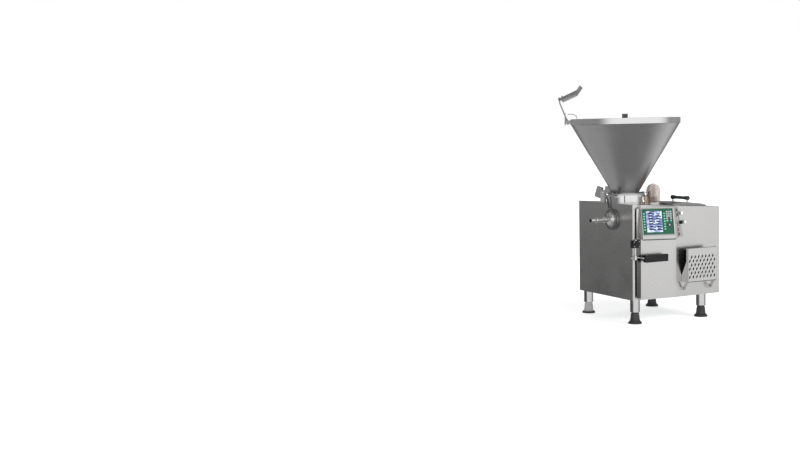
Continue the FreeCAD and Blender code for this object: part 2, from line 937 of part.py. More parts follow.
def filling_pipe():
    start = union_start()
    length = start.x - pipe_end
    shape = tube(pipe_radius, pipe_bore, start, V(pipe_end, start.y, start.z))
    collar = tube(pipe_ferrule, pipe_radius, start, start - V(6, 0, 0))
    ferrule = tube(pipe_ferrule, pipe_radius, V(pipe_end + 8, start.y, start.z), V(pipe_end, start.y, start.z))
    ring = tube(pipe_ferrule, pipe_radius, V(start.x - length * 0.55, start.y, start.z),
                V(start.x - length * 0.55 - 10, start.y, start.z))
    return shape.fuse([collar, ferrule, ring]).removeSplitter()


def union_nut():
    """The round slotted nut that draws the filling pipe onto the reducer's nose."""
    start = union_start() + V(reducer_length * 0.1, 0, 0)
    end = start - V(nut_length + 6, 0, 0)
    body = rod(nut_radius, start, end)
    bore = rod(reducer_nose + slack, start + V(1, 0, 0), union_start() - V(6 + slack, 0, 0))
    back = rod(pipe_radius + slack, start, end - V(1, 0, 0))
    body = body.cut(bore).cut(back)
    for k in range(6):
        a = math.radians(60 * k)
        notch = rod(4, V(start.x + 1, start.y + nut_radius * math.cos(a), start.z + nut_radius * math.sin(a)),
                    V(end.x - 1, start.y + nut_radius * math.cos(a), start.z + nut_radius * math.sin(a)))
        body = body.cut(notch)
    return body


def lever_height():
    return collar_top - lever_pivot_drop


def lever_length():
    """The lever's length that leaves its tip just over the outlet ring."""
    lean = math.radians(lever_lean)
    aside = lever_pivot_y - screws_y
    over = lever_height() - screw_height
    tip_reach = outlet_ring_radius + lever_tip_gap
    b = aside * math.sin(lean) + over * math.cos(lean)
    c = aside ** 2 + over ** 2 - tip_reach ** 2
    return b - math.sqrt(b * b - c)


def lever_pivot():
    """Where the lever's stud leaves the collar's left side."""
    aside = lever_pivot_y - axis_y
    return V(axis_x - math.sqrt(collar_radius ** 2 - aside ** 2), lever_pivot_y, lever_height())


def locking_lever():
    """The lever that hangs beside the housing, with its tip just over the outlet ring."""
    start = V(-lever_gap, lever_pivot_y, lever_height())
    hub = rod(lever_width, start, start - V(lever_thick, 0, 0))
    lean = math.radians(lever_lean)
    tip_y = start.y - lever_length() * math.sin(lean)
    tip_z = start.z - lever_length() * math.cos(lean)
    blade = face_of([
        V(start.x, start.y + lever_width * 0.7, start.z), V(start.x, start.y - lever_width * 0.7, start.z),
        V(start.x, tip_y - lever_width * 0.5, tip_z), V(start.x, tip_y + lever_width * 0.5, tip_z),
    ]).extrude(V(-lever_thick, 0, 0))
    pin_hole = rod(lever_stud_radius + running, start + V(1, 0, 0), start - V(lever_thick + 1, 0, 0))
    return hub.fuse(blade).cut(pin_hole).removeSplitter()


def lever_stud():
    """The stud for the locking lever, with a shoulder behind the lever and a head before it."""
    inside = lever_pivot() + V(4, 0, 0)
    shoulder = V(-lever_gap + slack, lever_pivot_y, lever_height())
    end = V(-lever_gap - lever_thick - slack, lever_pivot_y, lever_height())
    stud = rod(lever_stud_radius, inside, end)
    return stud.fuse([rod(lever_stud_radius + 4, inside, shoulder), rod(lever_stud_radius + 4, end, end - V(5, 0, 0))])


def console_frame():
    """The control panel's own directions: along it, up it, and out of its face."""
    turn = math.radians(panel_turn)
    tilt = math.radians(panel_tilt)
    along = V(math.cos(turn), -math.sin(turn), 0)
    level_out = V(-math.sin(turn), -math.cos(turn), 0)
    up = UP * math.cos(tilt) - level_out * math.sin(tilt)
    out = level_out * math.cos(tilt) + UP * math.sin(tilt)
    return along, up, out


def on_panel(a, b, height=0):
    """A point on the panel's face, a from its left edge and b up from its bottom edge."""
    along, up, out = console_frame()
    corner = V(panel_left, panel_front, panel_top)
    return corner - up * panel_height + along * a + up * b + out * height


def panel_slab(a0, a1, b0, b1, low, high):
    along, up, out = console_frame()
    base = face_of([on_panel(a0, b0, low), on_panel(a1, b0, low), on_panel(a1, b1, low), on_panel(a0, b1, low)])
    return base.extrude(out * (high - low))


def flank_frame():
    """The console's right flank, which carries the buttons: a plane from the panel's edge to the cover."""
    edge_low = on_panel(panel_width + panel_margin, 0)
    edge_high = on_panel(panel_width + panel_margin, panel_height)
    end = V(flank_end_x, front(flank_end_x), console_bottom)
    edge = (edge_high - edge_low).normalize()
    out = (end - edge_low).cross(edge).normalize()
    if out.y > 0:
        out = out * -1
    along = UP.cross(out).normalize()
    return edge_low, edge, along, out


def on_flank(distance, z):
    """A point on the flank at height z, a distance along it from the panel's edge."""
    edge_low, edge, along, out = flank_frame()
    start = edge_low + edge * ((z - edge_low.z) / edge.z)
    return start + along * distance


def console_case():
    along, up, out = console_frame()
    edge_low, edge, flank_along, flank_out = flank_frame()
    block_right = flank_end_x + console_block_over
    block = box(console_block_left, block_right, -console_block_reach, cover_depth, console_bottom, console_top)
    block = block.cut(side_of(on_panel(0, 0), out))
    block = block.cut(side_of(edge_low, flank_out))
    block = block.cut(side_of(on_panel(-panel_margin, 0), along * -1))
    block = block.cut(cover_block(0, housing_bottom))
    block = block.cut(box(-cover_left, cover_left, 0, housing_depth, housing_bottom, housing_top_left))
    block = max(block.Solids, key=lambda solid: solid.Volume)
    for z in button_heights:
        block = block.cut(button_bore(button_place(z), z))
    return block.fuse(console_bezel()).removeSplitter()


def button_place(z):
    """The column of push buttons leans away from the panel's edge towards its foot."""
    return button_along + button_spread * (button_heights[0] - z)


def button_bore(distance, z):
    edge_low, edge, along, out = flank_frame()
    centre = on_flank(distance, z)
    return rod(plunger_radius + running, centre - out * plunger_reach, centre + out * button_collar_length)


def console_bezel():
    m = panel_margin - 2
    frame = panel_slab(-m, panel_width + m, -m, panel_height + m, 0, bezel_thick)
    return frame.cut(panel_slab(0, panel_width, 0, panel_height, 0, bezel_thick))


def control_panel():
    foil = panel_slab(0, panel_width, 0, panel_height, 0, membrane_thick)
    low = (panel_height - screen_height) / 2
    window = panel_slab(screen_left, screen_left + screen_width, low, low + screen_height,
                        membrane_thick - screen_thick, membrane_thick + 1)
    return foil.cut(window)


def screen_window():
    low = (panel_height - screen_height) / 2
    return panel_slab(screen_left, screen_left + screen_width, low, low + screen_height,
                      membrane_thick - screen_thick, membrane_thick)


def control_collars():
    """The collars of the push buttons and the necks of the mushroom buttons, each with its bore."""
    out = flank_frame()[3]
    shapes = []
    for z in button_heights:
        base = on_flank(button_place(z), z)
        ring = rod(button_collar_radius, base, base + out * button_collar_length)
        above = base + out * (button_collar_length + 1)
        ring = ring.cut(rod(button_radius + running * 2, base + out * 2, above))
        shapes.append(ring.cut(rod(plunger_radius + running, base - out, above)))
    for z, neck in zip(mushroom_heights, mushroom_necks):
        base = on_flank(mushroom_along, z)
        ring = rod(mushroom_neck_radius, base, base + out * neck)
        shapes.append(ring.cut(rod(plunger_radius + running, base + out, base + out * (neck + 1))))
    return Part.makeCompound([shape.cut(cover_block(0, housing_bottom)) for shape in shapes])


def push_button(z):
    out = flank_frame()[3]
    base = on_flank(button_place(z), z)
    seat = 2 + button_travel + slack
    cap = rod(button_radius, base + out * seat, base + out * (button_collar_length + button_proud))
    stem = rod(plunger_radius, base - out * 18, base + out * (seat + 1))
    return cap.fuse(stem).removeSplitter()


def mushroom_button(z, neck, radius):
    out = flank_frame()[3]
    base = on_flank(mushroom_along, z)
    under = neck + mushroom_travel + slack
    low = 1 + mushroom_travel + slack
    profile = [(0, low), (plunger_radius, low), (plunger_radius, under), (radius * 0.8, under), (radius, under + 4),
               (radius, under + mushroom_head * 0.55), (radius * 0.72, under + mushroom_head * 0.9),
               (0, under + mushroom_head)]
    return turned(profile, base, out)


def knee_bearing():
    block = box(bearing_left, bearing_right, -bearing_out, 0, bearing_bottom, bearing_top)
    block = block.cut(box(bearing_left - 1, 0, -1, 1, bearing_bottom - 1, bearing_top + 1))
    bore = rod(knee_shaft_radius + running, V(knee_x, knee_y, bearing_bottom - 1), V(knee_x, knee_y, bearing_top + 1))
    edges = [e for e in block.Edges if e.BoundBox.ZLength > 60 and e.BoundBox.YMin < -bearing_out + 1]
    return block.makeFillet(6, edges).cut(bore)


def knee_shaft():
    low = knee_rod_height - knee_hub_height / 2 - 4
    shaft = rod(knee_shaft_radius, V(knee_x, knee_y, low), V(knee_x, knee_y, bearing_top + slack))
    cap = rod(knee_shaft_radius + 5, V(knee_x, knee_y, bearing_top + slack), V(knee_x, knee_y, bearing_top + 7))
    return shaft.fuse(cap)


def knee_arm():
    low = knee_rod_height - knee_hub_height / 2
    hub = rod(knee_hub_radius, V(knee_x, knee_y, low), V(knee_x, knee_y, low + knee_hub_height))
    pad_y = -pad_stand_off - pad_thick / 2
    route = [V(knee_x - knee_rod_tail, knee_y, knee_rod_height), V(knee_x + 38, knee_y, knee_rod_height),
             V(pad_left - 4, pad_y, knee_rod_height - 6), V(pad_left + pad_length * 0.7, pad_y, knee_rod_height - 6)]
    bar = bent_rod(route, knee_rod_radius, 14)
    arm = hub.fuse(bar)
    return arm.cut(rod(knee_shaft_radius, V(knee_x, knee_y, low - 1), V(knee_x, knee_y, low + knee_hub_height + 1)))


def knee_pad():
    middle = knee_rod_height - pad_drop
    y0 = -pad_stand_off - pad_thick
    y1 = -pad_stand_off
    low = middle - pad_height / 2
    high = middle + pad_height / 2
    right = pad_left + pad_length
    pad = prism_xz([(pad_left, low + 16), (pad_left + 14, low), (right, low), (right, high), (pad_left + 14, high),
                    (pad_left, high - 16)], y0, y1)
    long_edges = [e for e in pad.Edges if e.BoundBox.YLength > pad_thick - 1]
    pad = pad.makeFillet(5, long_edges)
    return pad.cut(knee_arm())


def dome_base_level():
    return roof(dome_x - dome_base_radius) + dome_base_height


def dome_base():
    top = dome_base_level()
    low = housing_top_right
    ring = rod(dome_base_radius, V(dome_x, dome_y, low), V(dome_x, dome_y, top))
    seat = tube(dome_base_radius + 1, dome_radius + slack, V(dome_x, dome_y, top - 5), V(dome_x, dome_y, top + 1))
    guide = rod(float_stem_radius, V(dome_x, dome_y, top), V(dome_x, dome_y, top + dome_straight))
    ring = ring.fuse(rod(dome_base_radius, V(dome_x, dome_y, top - 5), V(dome_x, dome_y, top)))
    shape = ring.cut(housing_outer())
    inner_port = rod(8, V(dome_x + 44, dome_y, top - 1), V(dome_x + 44, dome_y, top + 52))
    return shape.fuse([guide, inner_port]).removeSplitter()


def vacuum_dome():
    """The clear cover: straight wall, round crown and a foot flange, lifted straight off its seal."""
    low = dome_base_level()
    r = dome_radius
    w = dome_wall
    h = dome_straight
    corner = math.sqrt(0.5)
    points_out = [V(r + 8, 0, 0), V(r + 8, 0, 8), V(r, 0, 8), V(r, 0, h)]
    inner = r - w
    edges = [Part.LineSegment(V(inner, 0, 0), points_out[0]).toShape()]
    for a, b in zip(points_out, points_out[1:]):
        edges.append(Part.LineSegment(a, b).toShape())
    edges.append(Part.Arc(V(r, 0, h), V(r * corner, 0, h + r * corner), V(0, 0, h + r)).toShape())
    edges.append(Part.LineSegment(V(0, 0, h + r), V(0, 0, h + inner)).toShape())
    edges.append(Part.Arc(V(0, 0, h + inner), V(inner * corner, 0, h + inner * corner), V(inner, 0, h)).toShape())
    edges.append(Part.LineSegment(V(inner, 0, h), V(inner, 0, 0)).toShape())
    dome = Part.Face(Part.Wire(edges)).revolve(V(0, 0, 0), UP, 360)
    dome.translate(V(dome_x, dome_y, low))
    return dome


def trap_float():
    low = dome_base_level() + slack
    height = float_height
    r = float_radius
    bore = float_stem_radius + slack
    profile = [(bore, 0), (r * 0.7, 0), (r, 12), (r, height - 12), (r * 0.7, height), (bore, height)]
    return turned(profile, V(dome_x, dome_y, low), UP)


def vacuum_valve():
    """The brass valve and pipe between the collar and the dome."""
    low = housing_top_right
    foot_point = V(valve_x, valve_y, low)
    top = V(valve_x, valve_y, roof(valve_x) + valve_height)
    pipe = rod(valve_pipe_radius, foot_point, top)
    body = rod(valve_body_radius, top - V(0, 0, 52), top - V(0, 0, 16))
    nut = rod(valve_body_radius - 3, foot_point, V(valve_x, valve_y, roof(valve_x) + 12))
    towards = V(dome_x - valve_x, dome_y - valve_y, 0).normalize()
    start = V(valve_x, valve_y, top.z - 34)
    bend = start + towards * 31
    drop = bend - V(0, 0, start.z - roof(bend.x) + 20)
    branch = bent_rod([start, bend, drop], 9, 12)
    return pipe.fuse([body, nut, branch]).cut(housing_outer()).removeSplitter()


def lid_outline(x, rise):
    return (x, roof(x) + rise)


def lid_solid(inset):
    """The lid's crowned block, following the sloping roof, shrunk by inset for its inside."""
    a = lid_left + inset
    b = lid_right - inset
    bottom = 2 if inset == 0 else -1
    points = [lid_outline(a, bottom), lid_outline(b, bottom), lid_outline(b, lid_edge - inset),
              lid_outline(b - lid_slope, lid_crown - inset), lid_outline(a + lid_slope, lid_crown - inset),
              lid_outline(a, lid_edge - inset)]
    return prism_xz(points, lid_front + inset, lid_back - inset)


def top_lid():
    lid = lid_solid(0).cut(lid_solid(lid_sheet))
    return lid.fuse(lid_knuckles(False) + handle_posts()).removeSplitter()


def lid_pin_line():
    return lid_back + knuckle_radius + 1


def lid_knuckles(fixed):
    """Hinge knuckles along the lid's rear edge: the fixed ones also hold the pin."""
    y = lid_pin_line()
    shapes = []
    count = 5
    step = (lid_right - lid_left - 80) / count
    direction = V(step, 0, (housing_top_right - housing_top_left) * step / housing_width)
    start_x = lid_left + 40
    rise = lid_edge - 1
    for k in range(count):
        if (k % 2 == 0) != fixed:
            continue
        a = V(start_x, y, roof(start_x) + rise) + direction * k
        b = a + direction
        unit = (b - a).normalize()
        down = ALONG_Y.cross(unit)
        a = a + unit * slack
        b = b - unit * slack
        knuckle = rod(knuckle_radius, a, b)
        if fixed:
            near = ALONG_Y * -knuckle_leaf_near
            far = ALONG_Y * knuckle_leaf_far
            deep = down * knuckle_radius * 2
            leaf = face_of([a + near + down, a + far + down, a + far + deep, a + near + deep])
            knuckle = knuckle.fuse(leaf.extrude(b - a))
        else:
            near = ALONG_Y * (-knuckle_radius - lid_sheet)
            leaf = face_of([a + near, a, a + down * lid_pin_radius, a + near + down * lid_pin_radius])
            knuckle = knuckle.fuse(leaf.extrude(b - a))
            knuckle = knuckle.cut(rod(lid_pin_radius + running * 2, a - unit, b + unit))
        shapes.append(knuckle)
    return shapes


def lid_hinge():
    y = lid_pin_line()
    start_x = lid_left + 40
    end_x = lid_right - 40
    rise = lid_edge - 1
    pin = rod(lid_pin_radius, V(start_x, y, roof(start_x) + rise), V(end_x, y, roof(end_x) + rise))
    shape = pin.fuse(lid_knuckles(True))
    return shape.cut(housing_outer()).removeSplitter()


def lid_well():
    """The pan under the lid, hung in the roof's opening by its own flange."""
    a = lid_left + well_inset
    b = lid_right - well_inset
    c = lid_front + well_inset
    d = lid_back - well_inset
    w = well_wall
    low = roof(b) - well_depth
    outer = box(a, b, c, d, low, housing_top_left)
    inner = box(a + w, b - w, c + w, d - w, low + w, housing_top_left + 1)
    pan = outer.cut(inner).common(prism_xz(roof_outline(0, low - 10), c - 1, d + 1))
    lip_outer = prism_xz([lid_outline(a - 14, 0), lid_outline(b + 14, 0), lid_outline(b + 14, 2), lid_outline(a - 14, 2)],
                         c - 14, d + 14)
    lip_ring = lip_outer.cut(box(a + w, b - w, c + w, d - w, low, housing_top_left + 20))
    return pan.fuse(lip_ring).removeSplitter()


def lid_top(x):
    return roof(x) + lid_crown


def lid_handle():
    """The waisted grip, turned about an axis along Y."""
    z = lid_top(grip_x) + grip_height
    e = grip_end_radius
    n = grip_waist_radius
    length = grip_length
    profile = [(0, 0), (e - 6, 0), (e, 8), (e, 26), (e - 3, 44), (n, 78), (n, length - 78), (e - 3, length - 44),
               (e, length - 26), (e, length - 8), (e - 6, length), (0, length)]
    grip = turned(profile, V(grip_x, grip_front, z), ALONG_Y)
    for y in (grip_front + 20, grip_front + grip_length - 20):
        grip = grip.cut(rod(post_radius, V(grip_x, y, z - 60), V(grip_x, y, z)))
    return grip


def handle_posts():
    """The two posts that stand on the lid and enter the grip."""
    z = lid_top(grip_x) + grip_height
    low = lid_top(grip_x) - lid_sheet
    posts = []
    for y in (grip_front + 20, grip_front + grip_length - 20):
        posts.append(rod(post_radius, V(grip_x, y, low), V(grip_x, y, z)))
        posts.append(rod(post_radius + 6, V(grip_x, y, low), V(grip_x, y, lid_top(grip_x) + 5)))
    return posts


def slot_cutters():
    """Slanted slots in rows of seven and eight, set as a brick pattern."""
    half = (slot_length - slot_width) / 2
    cutters = []
    middle = (hood_left + hood_right) / 2
    lean = math.radians(slot_lean)
    for row in range(slot_rows):
        count = slot_count - 1 if row % 2 == 0 else slot_count
        z = slot_top_row - row * slot_row_step
        for k in range(count):
            x = middle + (k - (count - 1) / 2) * slot_pitch
            y0 = -hood_out - 1
            across = V(math.cos(lean), 0, -math.sin(lean)) * (slot_width / 2)
            along = V(math.sin(lean), 0, math.cos(lean)) * half
            centre = V(x, y0, z)
            corners = []
            for sa, sc in ((1, 0.55), (1, -0.55), (0, -1), (-1, -0.55), (-1, 0.55), (0, 1)):
                reach = along * sa * (1.75 if sa else 0)
                corners.append(centre + reach + across * sc * (1.0 if sa else 1.15))
            cutters.append(face_of(corners).extrude(V(0, hood_sheet + 2, 0)))
    return cutters


def vent_hood():
    """The hood: slotted front plate, side lips, low cheeks and two arms down to the hinge."""
    s = hood_sheet
    y0 = -hood_out
    plate = box(hood_left, hood_right, y0, y0 + s, hood_bottom, hood_top)
    plate = plate.cut(Part.makeCompound(slot_cutters()))
    shapes = []
    gap = 2
    for x0, x1 in ((hood_left, hood_left + s), (hood_right - s, hood_right)):
        back = front((x0 + x1) / 2) - gap
        cheek = prism_yz([(y0, hood_bottom), (back, hood_bottom), (back, hood_bottom + 60), (y0 + hood_lip, hood_cheek_top),
                          (y0 + hood_lip, hood_top), (y0, hood_top)], x0, x1)
        shapes.append(cheek)
    shapes.append(box(hood_left, hood_right, y0, y0 + hood_lip, hood_top - s, hood_top))
    shapes.append(box(hood_left, hood_right, y0, y0 + hood_lip, hood_bottom, hood_bottom + s))
    py = -hood_pivot_out
    pz = hood_pivot_height
    for x0 in (hood_left + s, hood_right - s - hood_arm_width):
        x1 = x0 + hood_arm_width
        top = hood_bottom + hood_arm_lap
        outline = [(y0 + s, top), (y0 + s + 26, top), (py + 10, pz + 4), (py, pz - 12), (py - 12, pz)]
        arm = prism_yz(outline, x0, x1)
        arm = arm.fuse(rod(12, V(x0, py, pz), V(x1, py, pz)))
        arm = arm.cut(rod(hood_pin_radius + running, V(x0 - 1, py, pz), V(x1 + 1, py, pz)))
        shapes.append(arm)
    return plate.fuse(shapes).removeSplitter()


def hood_hinge():
    """Two blocks on the front cover, each with a fork for an arm of the hood and its pin."""
    s = hood_sheet
    py = -hood_pivot_out
    pz = hood_pivot_height
    blocks = []
    for x0 in (hood_left + s, hood_right - s - hood_arm_width):
        x1 = x0 + hood_arm_width
        for a, b in ((x0 - slack - 8, x0 - slack), (x1 + slack, x1 + slack + 8)):
            cheek = prism_yz([(0, pz - 18), (py, pz - 12), (py - 12, pz), (py, pz + 12), (0, pz + 18)], a, b)
            blocks.append(cheek)
        blocks.append(rod(hood_pin_radius, V(x0 - slack - 8, py, pz), V(x1 + slack + 8, py, pz)))
    shape = blocks[0].fuse(blocks[1:])
    return shape.cut(cover_block(0, housing_bottom)).removeSplitter()


def all_parts():
    """Every sub-part by its name, in the housing's own frame."""
    parts = {
        "base_frame": base_frame(),
        "housing_shell": housing_shell(),
        "front_cover": front_cover(),
        "leg_tubes": Part.makeCompound([leg(x, y) for x, y in leg_places().values()]),
        "screw_housing": screw_housing(),
        "gearbox_case": gearbox_case(),
        "main_motor": main_motor(),
        "motor_pinion": motor_pinion(),
        "vacuum_pump": vacuum_pump(),
        "feed_throat": feed_throat(),
        "throat_collar": throat_collar(),
        "hopper": hopper(),
        "hopper_hinge_arm": hinge_arm(),
        "hopper_hinge_post": hinge_post(),
        "feed_curve": feed_curve(),
        "counter_arm": counter_arm(),
        "mirror_bracket": mirror_bracket(),
        "mirror_rod": mirror_rod(),
        "mirror_plate": mirror_plate(),
        "outlet_flange": outlet_flange(),
        "outlet_reducer": outlet_reducer(),
        "union_nut": union_nut(),
        "filling_pipe": filling_pipe(),
        "locking_lever": locking_lever(),
        "console_case": console_case(),
        "control_panel": control_panel(),
        "screen_window": screen_window(),
        "control_collars": control_collars(),
        "knee_bearing": knee_bearing(),
        "knee_shaft": knee_shaft(),
        "knee_arm": knee_arm(),
        "knee_pad": knee_pad(),
        "dome_base": dome_base(),
        "vacuum_dome": vacuum_dome(),
        "trap_float": trap_float(),
        "vacuum_valve": vacuum_valve(),
        "top_lid": top_lid(),
        "lid_hinge": lid_hinge(),
        "lid_well": lid_well(),
        "lid_handle": lid_handle(),
        "vent_hood": vent_hood(),
        "hood_hinge": hood_hinge(),
    }
    for place, (x, y) in leg_places().items():
        parts["foot_" + place] = foot(x, y)
    for which in screw_axes():
        parts["feed_screw_" + which] = feed_screw(which)
        parts["timing_gear_" + which] = timing_gear(which)
    for number, angle in enumerate(clamp_angles, 1):
        parts["clamp_handle_%d" % number] = clamp_handle(angle)
    for number, z in enumerate(button_heights, 1):
        parts["push_button_%d" % number] = push_button(z)
    for name, z, neck, radius in zip(("upper", "lower"), mushroom_heights, mushroom_necks, mushroom_radii):
        parts["mushroom_button_" + name] = mushroom_button(z, neck, radius)
    return parts


def main():
    os.makedirs("parts", exist_ok=True)
    origin = V((left_reach + housing_width) / 2, (front_reach + housing_depth) / 2, 0)
    for name, shape in all_parts().items():
        placed = shape.copy()
        placed.translate(origin * -1)
        placed.exportStep("parts/%s.step" % name)


main()
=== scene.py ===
"""Looks for the sausage filler: camera, studio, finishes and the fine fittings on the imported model.

Points and sizes are in millimetres, in the housing's own frame, unless a line says otherwise: X runs to the
right along the front, Y to the back and Z up from the floor.
"""
import json
import math

import bpy
from mathutils import Matrix, Vector


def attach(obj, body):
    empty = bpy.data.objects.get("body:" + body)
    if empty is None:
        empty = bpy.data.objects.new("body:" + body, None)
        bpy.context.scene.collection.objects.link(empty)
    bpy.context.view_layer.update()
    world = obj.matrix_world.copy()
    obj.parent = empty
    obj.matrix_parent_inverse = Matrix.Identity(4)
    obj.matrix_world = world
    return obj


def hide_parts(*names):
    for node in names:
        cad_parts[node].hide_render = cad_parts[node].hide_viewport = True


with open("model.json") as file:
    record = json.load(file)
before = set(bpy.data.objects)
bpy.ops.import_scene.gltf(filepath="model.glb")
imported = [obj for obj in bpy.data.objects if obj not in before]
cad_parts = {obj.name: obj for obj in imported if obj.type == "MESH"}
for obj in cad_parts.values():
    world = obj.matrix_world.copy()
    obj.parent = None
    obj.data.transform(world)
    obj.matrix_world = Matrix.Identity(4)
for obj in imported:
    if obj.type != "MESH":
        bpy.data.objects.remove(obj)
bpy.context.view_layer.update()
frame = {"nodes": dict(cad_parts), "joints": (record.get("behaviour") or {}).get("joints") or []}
nodes = frame["nodes"]

ORIGIN = Vector((315.5, 354.0, 0.0))  # of the row frame
UP = Vector((0, 0, 1))
LEFT = Vector((-1, 0, 0))
RIGHT = Vector((1, 0, 0))
FRONT = Vector((0, -1, 0))
BACK = Vector((0, 1, 0))
STAY = Matrix.Identity(4)

HOUSING_WIDTH = 1005
ROOF_LEFT, ROOF_RIGHT = 1109, 1047
HOPPER = Vector((165, 335, 0))  # the foot of its upright axis
RIM_FOOT = 1848  # where the cone ends and the upright rim band starts
SCREWS_Y, SCREWS_Z = 306, 960  # the outlet's axis, midway between the feed screws

PHOTO_WIDTH = 800  # pixels
FOCAL_LENGTH = 1137.1  # pixels of the photo
SENSOR_WIDTH = 36
CAMERA_SPOT = (-6305, -8478, 1839)
CAMERA_TURN = (25.03, 4.79, -1.24)  # right, down and rolled, in degrees

ROUND = 60  # the smoothing angle of round pieces, in degrees


def mm(value):
    return value / 1000


def place(x, y, z):
    """A point of the housing's own frame, as metres in the row frame."""
    return (Vector((x, y, z)) - ORIGIN) / 1000


def round_hopper(angle, radius, z):
    """A point at an angle in degrees and a radius round the hopper's axis."""
    a = math.radians(angle)
    return HOPPER + Vector((radius * math.cos(a), radius * math.sin(a), z))


def roof(x):
    """The height of the sloping roof."""
    return ROOF_LEFT + (ROOF_RIGHT - ROOF_LEFT) * x / HOUSING_WIDTH


# Camera and studio

def set_camera():
    """The photo's camera."""
    yaw, pitch, roll = (math.radians(angle) for angle in CAMERA_TURN)
    data = bpy.data.cameras.new("camera")
    data.sensor_width = SENSOR_WIDTH
    data.lens = FOCAL_LENGTH / PHOTO_WIDTH * SENSOR_WIDTH
    camera = bpy.data.objects.new("camera", data)
    bpy.context.scene.collection.objects.link(camera)
    forward = Vector((math.sin(yaw) * math.cos(pitch), math.cos(yaw) * math.cos(pitch), -math.sin(pitch)))
    right = Vector((math.cos(yaw), -math.sin(yaw), 0))
    level = right.cross(forward)
    side = right * math.cos(roll) + level * math.sin(roll)
    top = level * math.cos(roll) - right * math.sin(roll)
    turn = Matrix((side, top, -forward)).transposed().to_4x4()
    camera.matrix_world = Matrix.Translation(place(*CAMERA_SPOT)) @ turn
    bpy.context.scene.camera = camera


class Value:
    """A socket that can be used in arithmetic."""

    def __init__(self, shop, socket):
        self.shop = shop
        self.socket = socket

    def __add__(self, other): return self.shop.math("ADD", self, other)
    def __radd__(self, other): return self.shop.math("ADD", other, self)
    def __sub__(self, other): return self.shop.math("SUBTRACT", self, other)
    def __rsub__(self, other): return self.shop.math("SUBTRACT", other, self)
    def __mul__(self, other): return self.shop.math("MULTIPLY", self, other)


class Shop:
    """Builds one node tree. An input is named by its label, or n and its number."""

    def __init__(self, tree):
        self.tree = tree

    def make(self, kind, settings=None, output=0, **inputs):
        node = self.tree.nodes.new(kind)
        for name, value in (settings or {}).items():
            setattr(node, name, value)
        for name, value in inputs.items():
            key = int(name[1:]) if name[0] == "n" and name[1:].isdigit() else name.replace("_", " ")
            self.feed(node.inputs[key], value)
        return Value(self, node.outputs[output])

    def feed(self, socket, value):
        if isinstance(value, Value):
            self.tree.links.new(value.socket, socket)
        else:
            socket.default_value = value

    def math(self, operation, a, b):
        return self.make("ShaderNodeMath", {"operation": operation}, n0=a, n1=b)

    def spread(self, value, low, high, to_low=0.0, to_high=1.0):
        return self.make("ShaderNodeMapRange", {"interpolation_type": "SMOOTHSTEP"},
                         n0=value, n1=low, n2=high, n3=to_low, n4=to_high)

    def blend(self, amount, a, b):
        node = self.tree.nodes.new("ShaderNodeMix")
        node.data_type = "RGBA"
        self.feed(node.inputs[0], amount)
        self.feed(node.inputs[6], a)
        self.feed(node.inputs[7], b)
        return Value(self, node.outputs[2])

    def where(self, scale=(1, 1, 1), turn=(0, 0, 0)):
        spot = self.make("ShaderNodeTexCoord", output=3)
        return self.make("ShaderNodeMapping", Vector=spot, Rotation=turn, Scale=scale)

    def noise(self, scale, detail=3.0, stretch=(1, 1, 1), turn=(0, 0, 0)):
        return self.make("ShaderNodeTexNoise", Vector=self.where(stretch, turn), Scale=scale, Detail=detail)

    def bump(self, height, strength, distance):
        return self.make("ShaderNodeBump", Height=height, Strength=strength, Distance=distance)


def finish_named(name):
    material = bpy.data.materials.new(name)
    material.use_nodes = True
    shop = Shop(material.node_tree)
    return material, shop, material.node_tree.nodes["Principled BSDF"]


def grey(level, warm=0.0):
    return (level * (1 + warm), level, level * (1 - warm), 1)


def metal(name, level, roughness, grain=(1, 1, 1), grain_scale=60, grain_depth=0.06, blotch=0.08,
          warm=0.004, bare=1.0):
    """Stainless steel: a brushed or blasted grain, with cloudy handling marks in its gloss."""
    material, shop, surface = finish_named(name)
    cloud = shop.noise(3.2, 4.0)
    fine = shop.noise(grain_scale, 2.0, grain)
    tone = (cloud - 0.5) * blotch + (fine - 0.5) * blotch * 0.8
    mask = shop.spread(tone, -0.12, 0.12)
    colour = shop.blend(mask, grey(level * 0.93, warm), grey(level * 1.05, warm))
    shop.feed(surface.inputs["Base Color"], colour)
    surface.inputs["Metallic"].default_value = bare
    shop.feed(surface.inputs["Roughness"], roughness + (cloud - 0.5) * 0.14 + (fine - 0.5) * 0.10)
    shop.feed(surface.inputs["Normal"], shop.bump(fine, grain_depth, 0.002))
    return material


def plastic(name, colour, roughness, grain=0.04, scale=900, coat=0.0, shine=0.5):
    """Moulded plastic with a fine skin and slight wear in its gloss."""
    material, shop, surface = finish_named(name)
    skin = shop.noise(scale, 2.0)
    wear = shop.noise(14, 4.0)
    dark = tuple(c * 0.86 for c in colour[:3]) + (1,)
    light = tuple(min(1, c * 1.12 + 0.004) for c in colour[:3]) + (1,)
    shop.feed(surface.inputs["Base Color"], shop.blend(shop.spread(wear, 0.35, 0.7), dark, light))
    shop.feed(surface.inputs["Roughness"], roughness + (wear - 0.5) * 0.18)
    shop.feed(surface.inputs["Normal"], shop.bump(skin, grain, 0.0006))
    surface.inputs["Specular IOR Level"].default_value = shine
    surface.inputs["Coat Weight"].default_value = coat
    surface.inputs["Coat Roughness"].default_value = 0.12
    return material


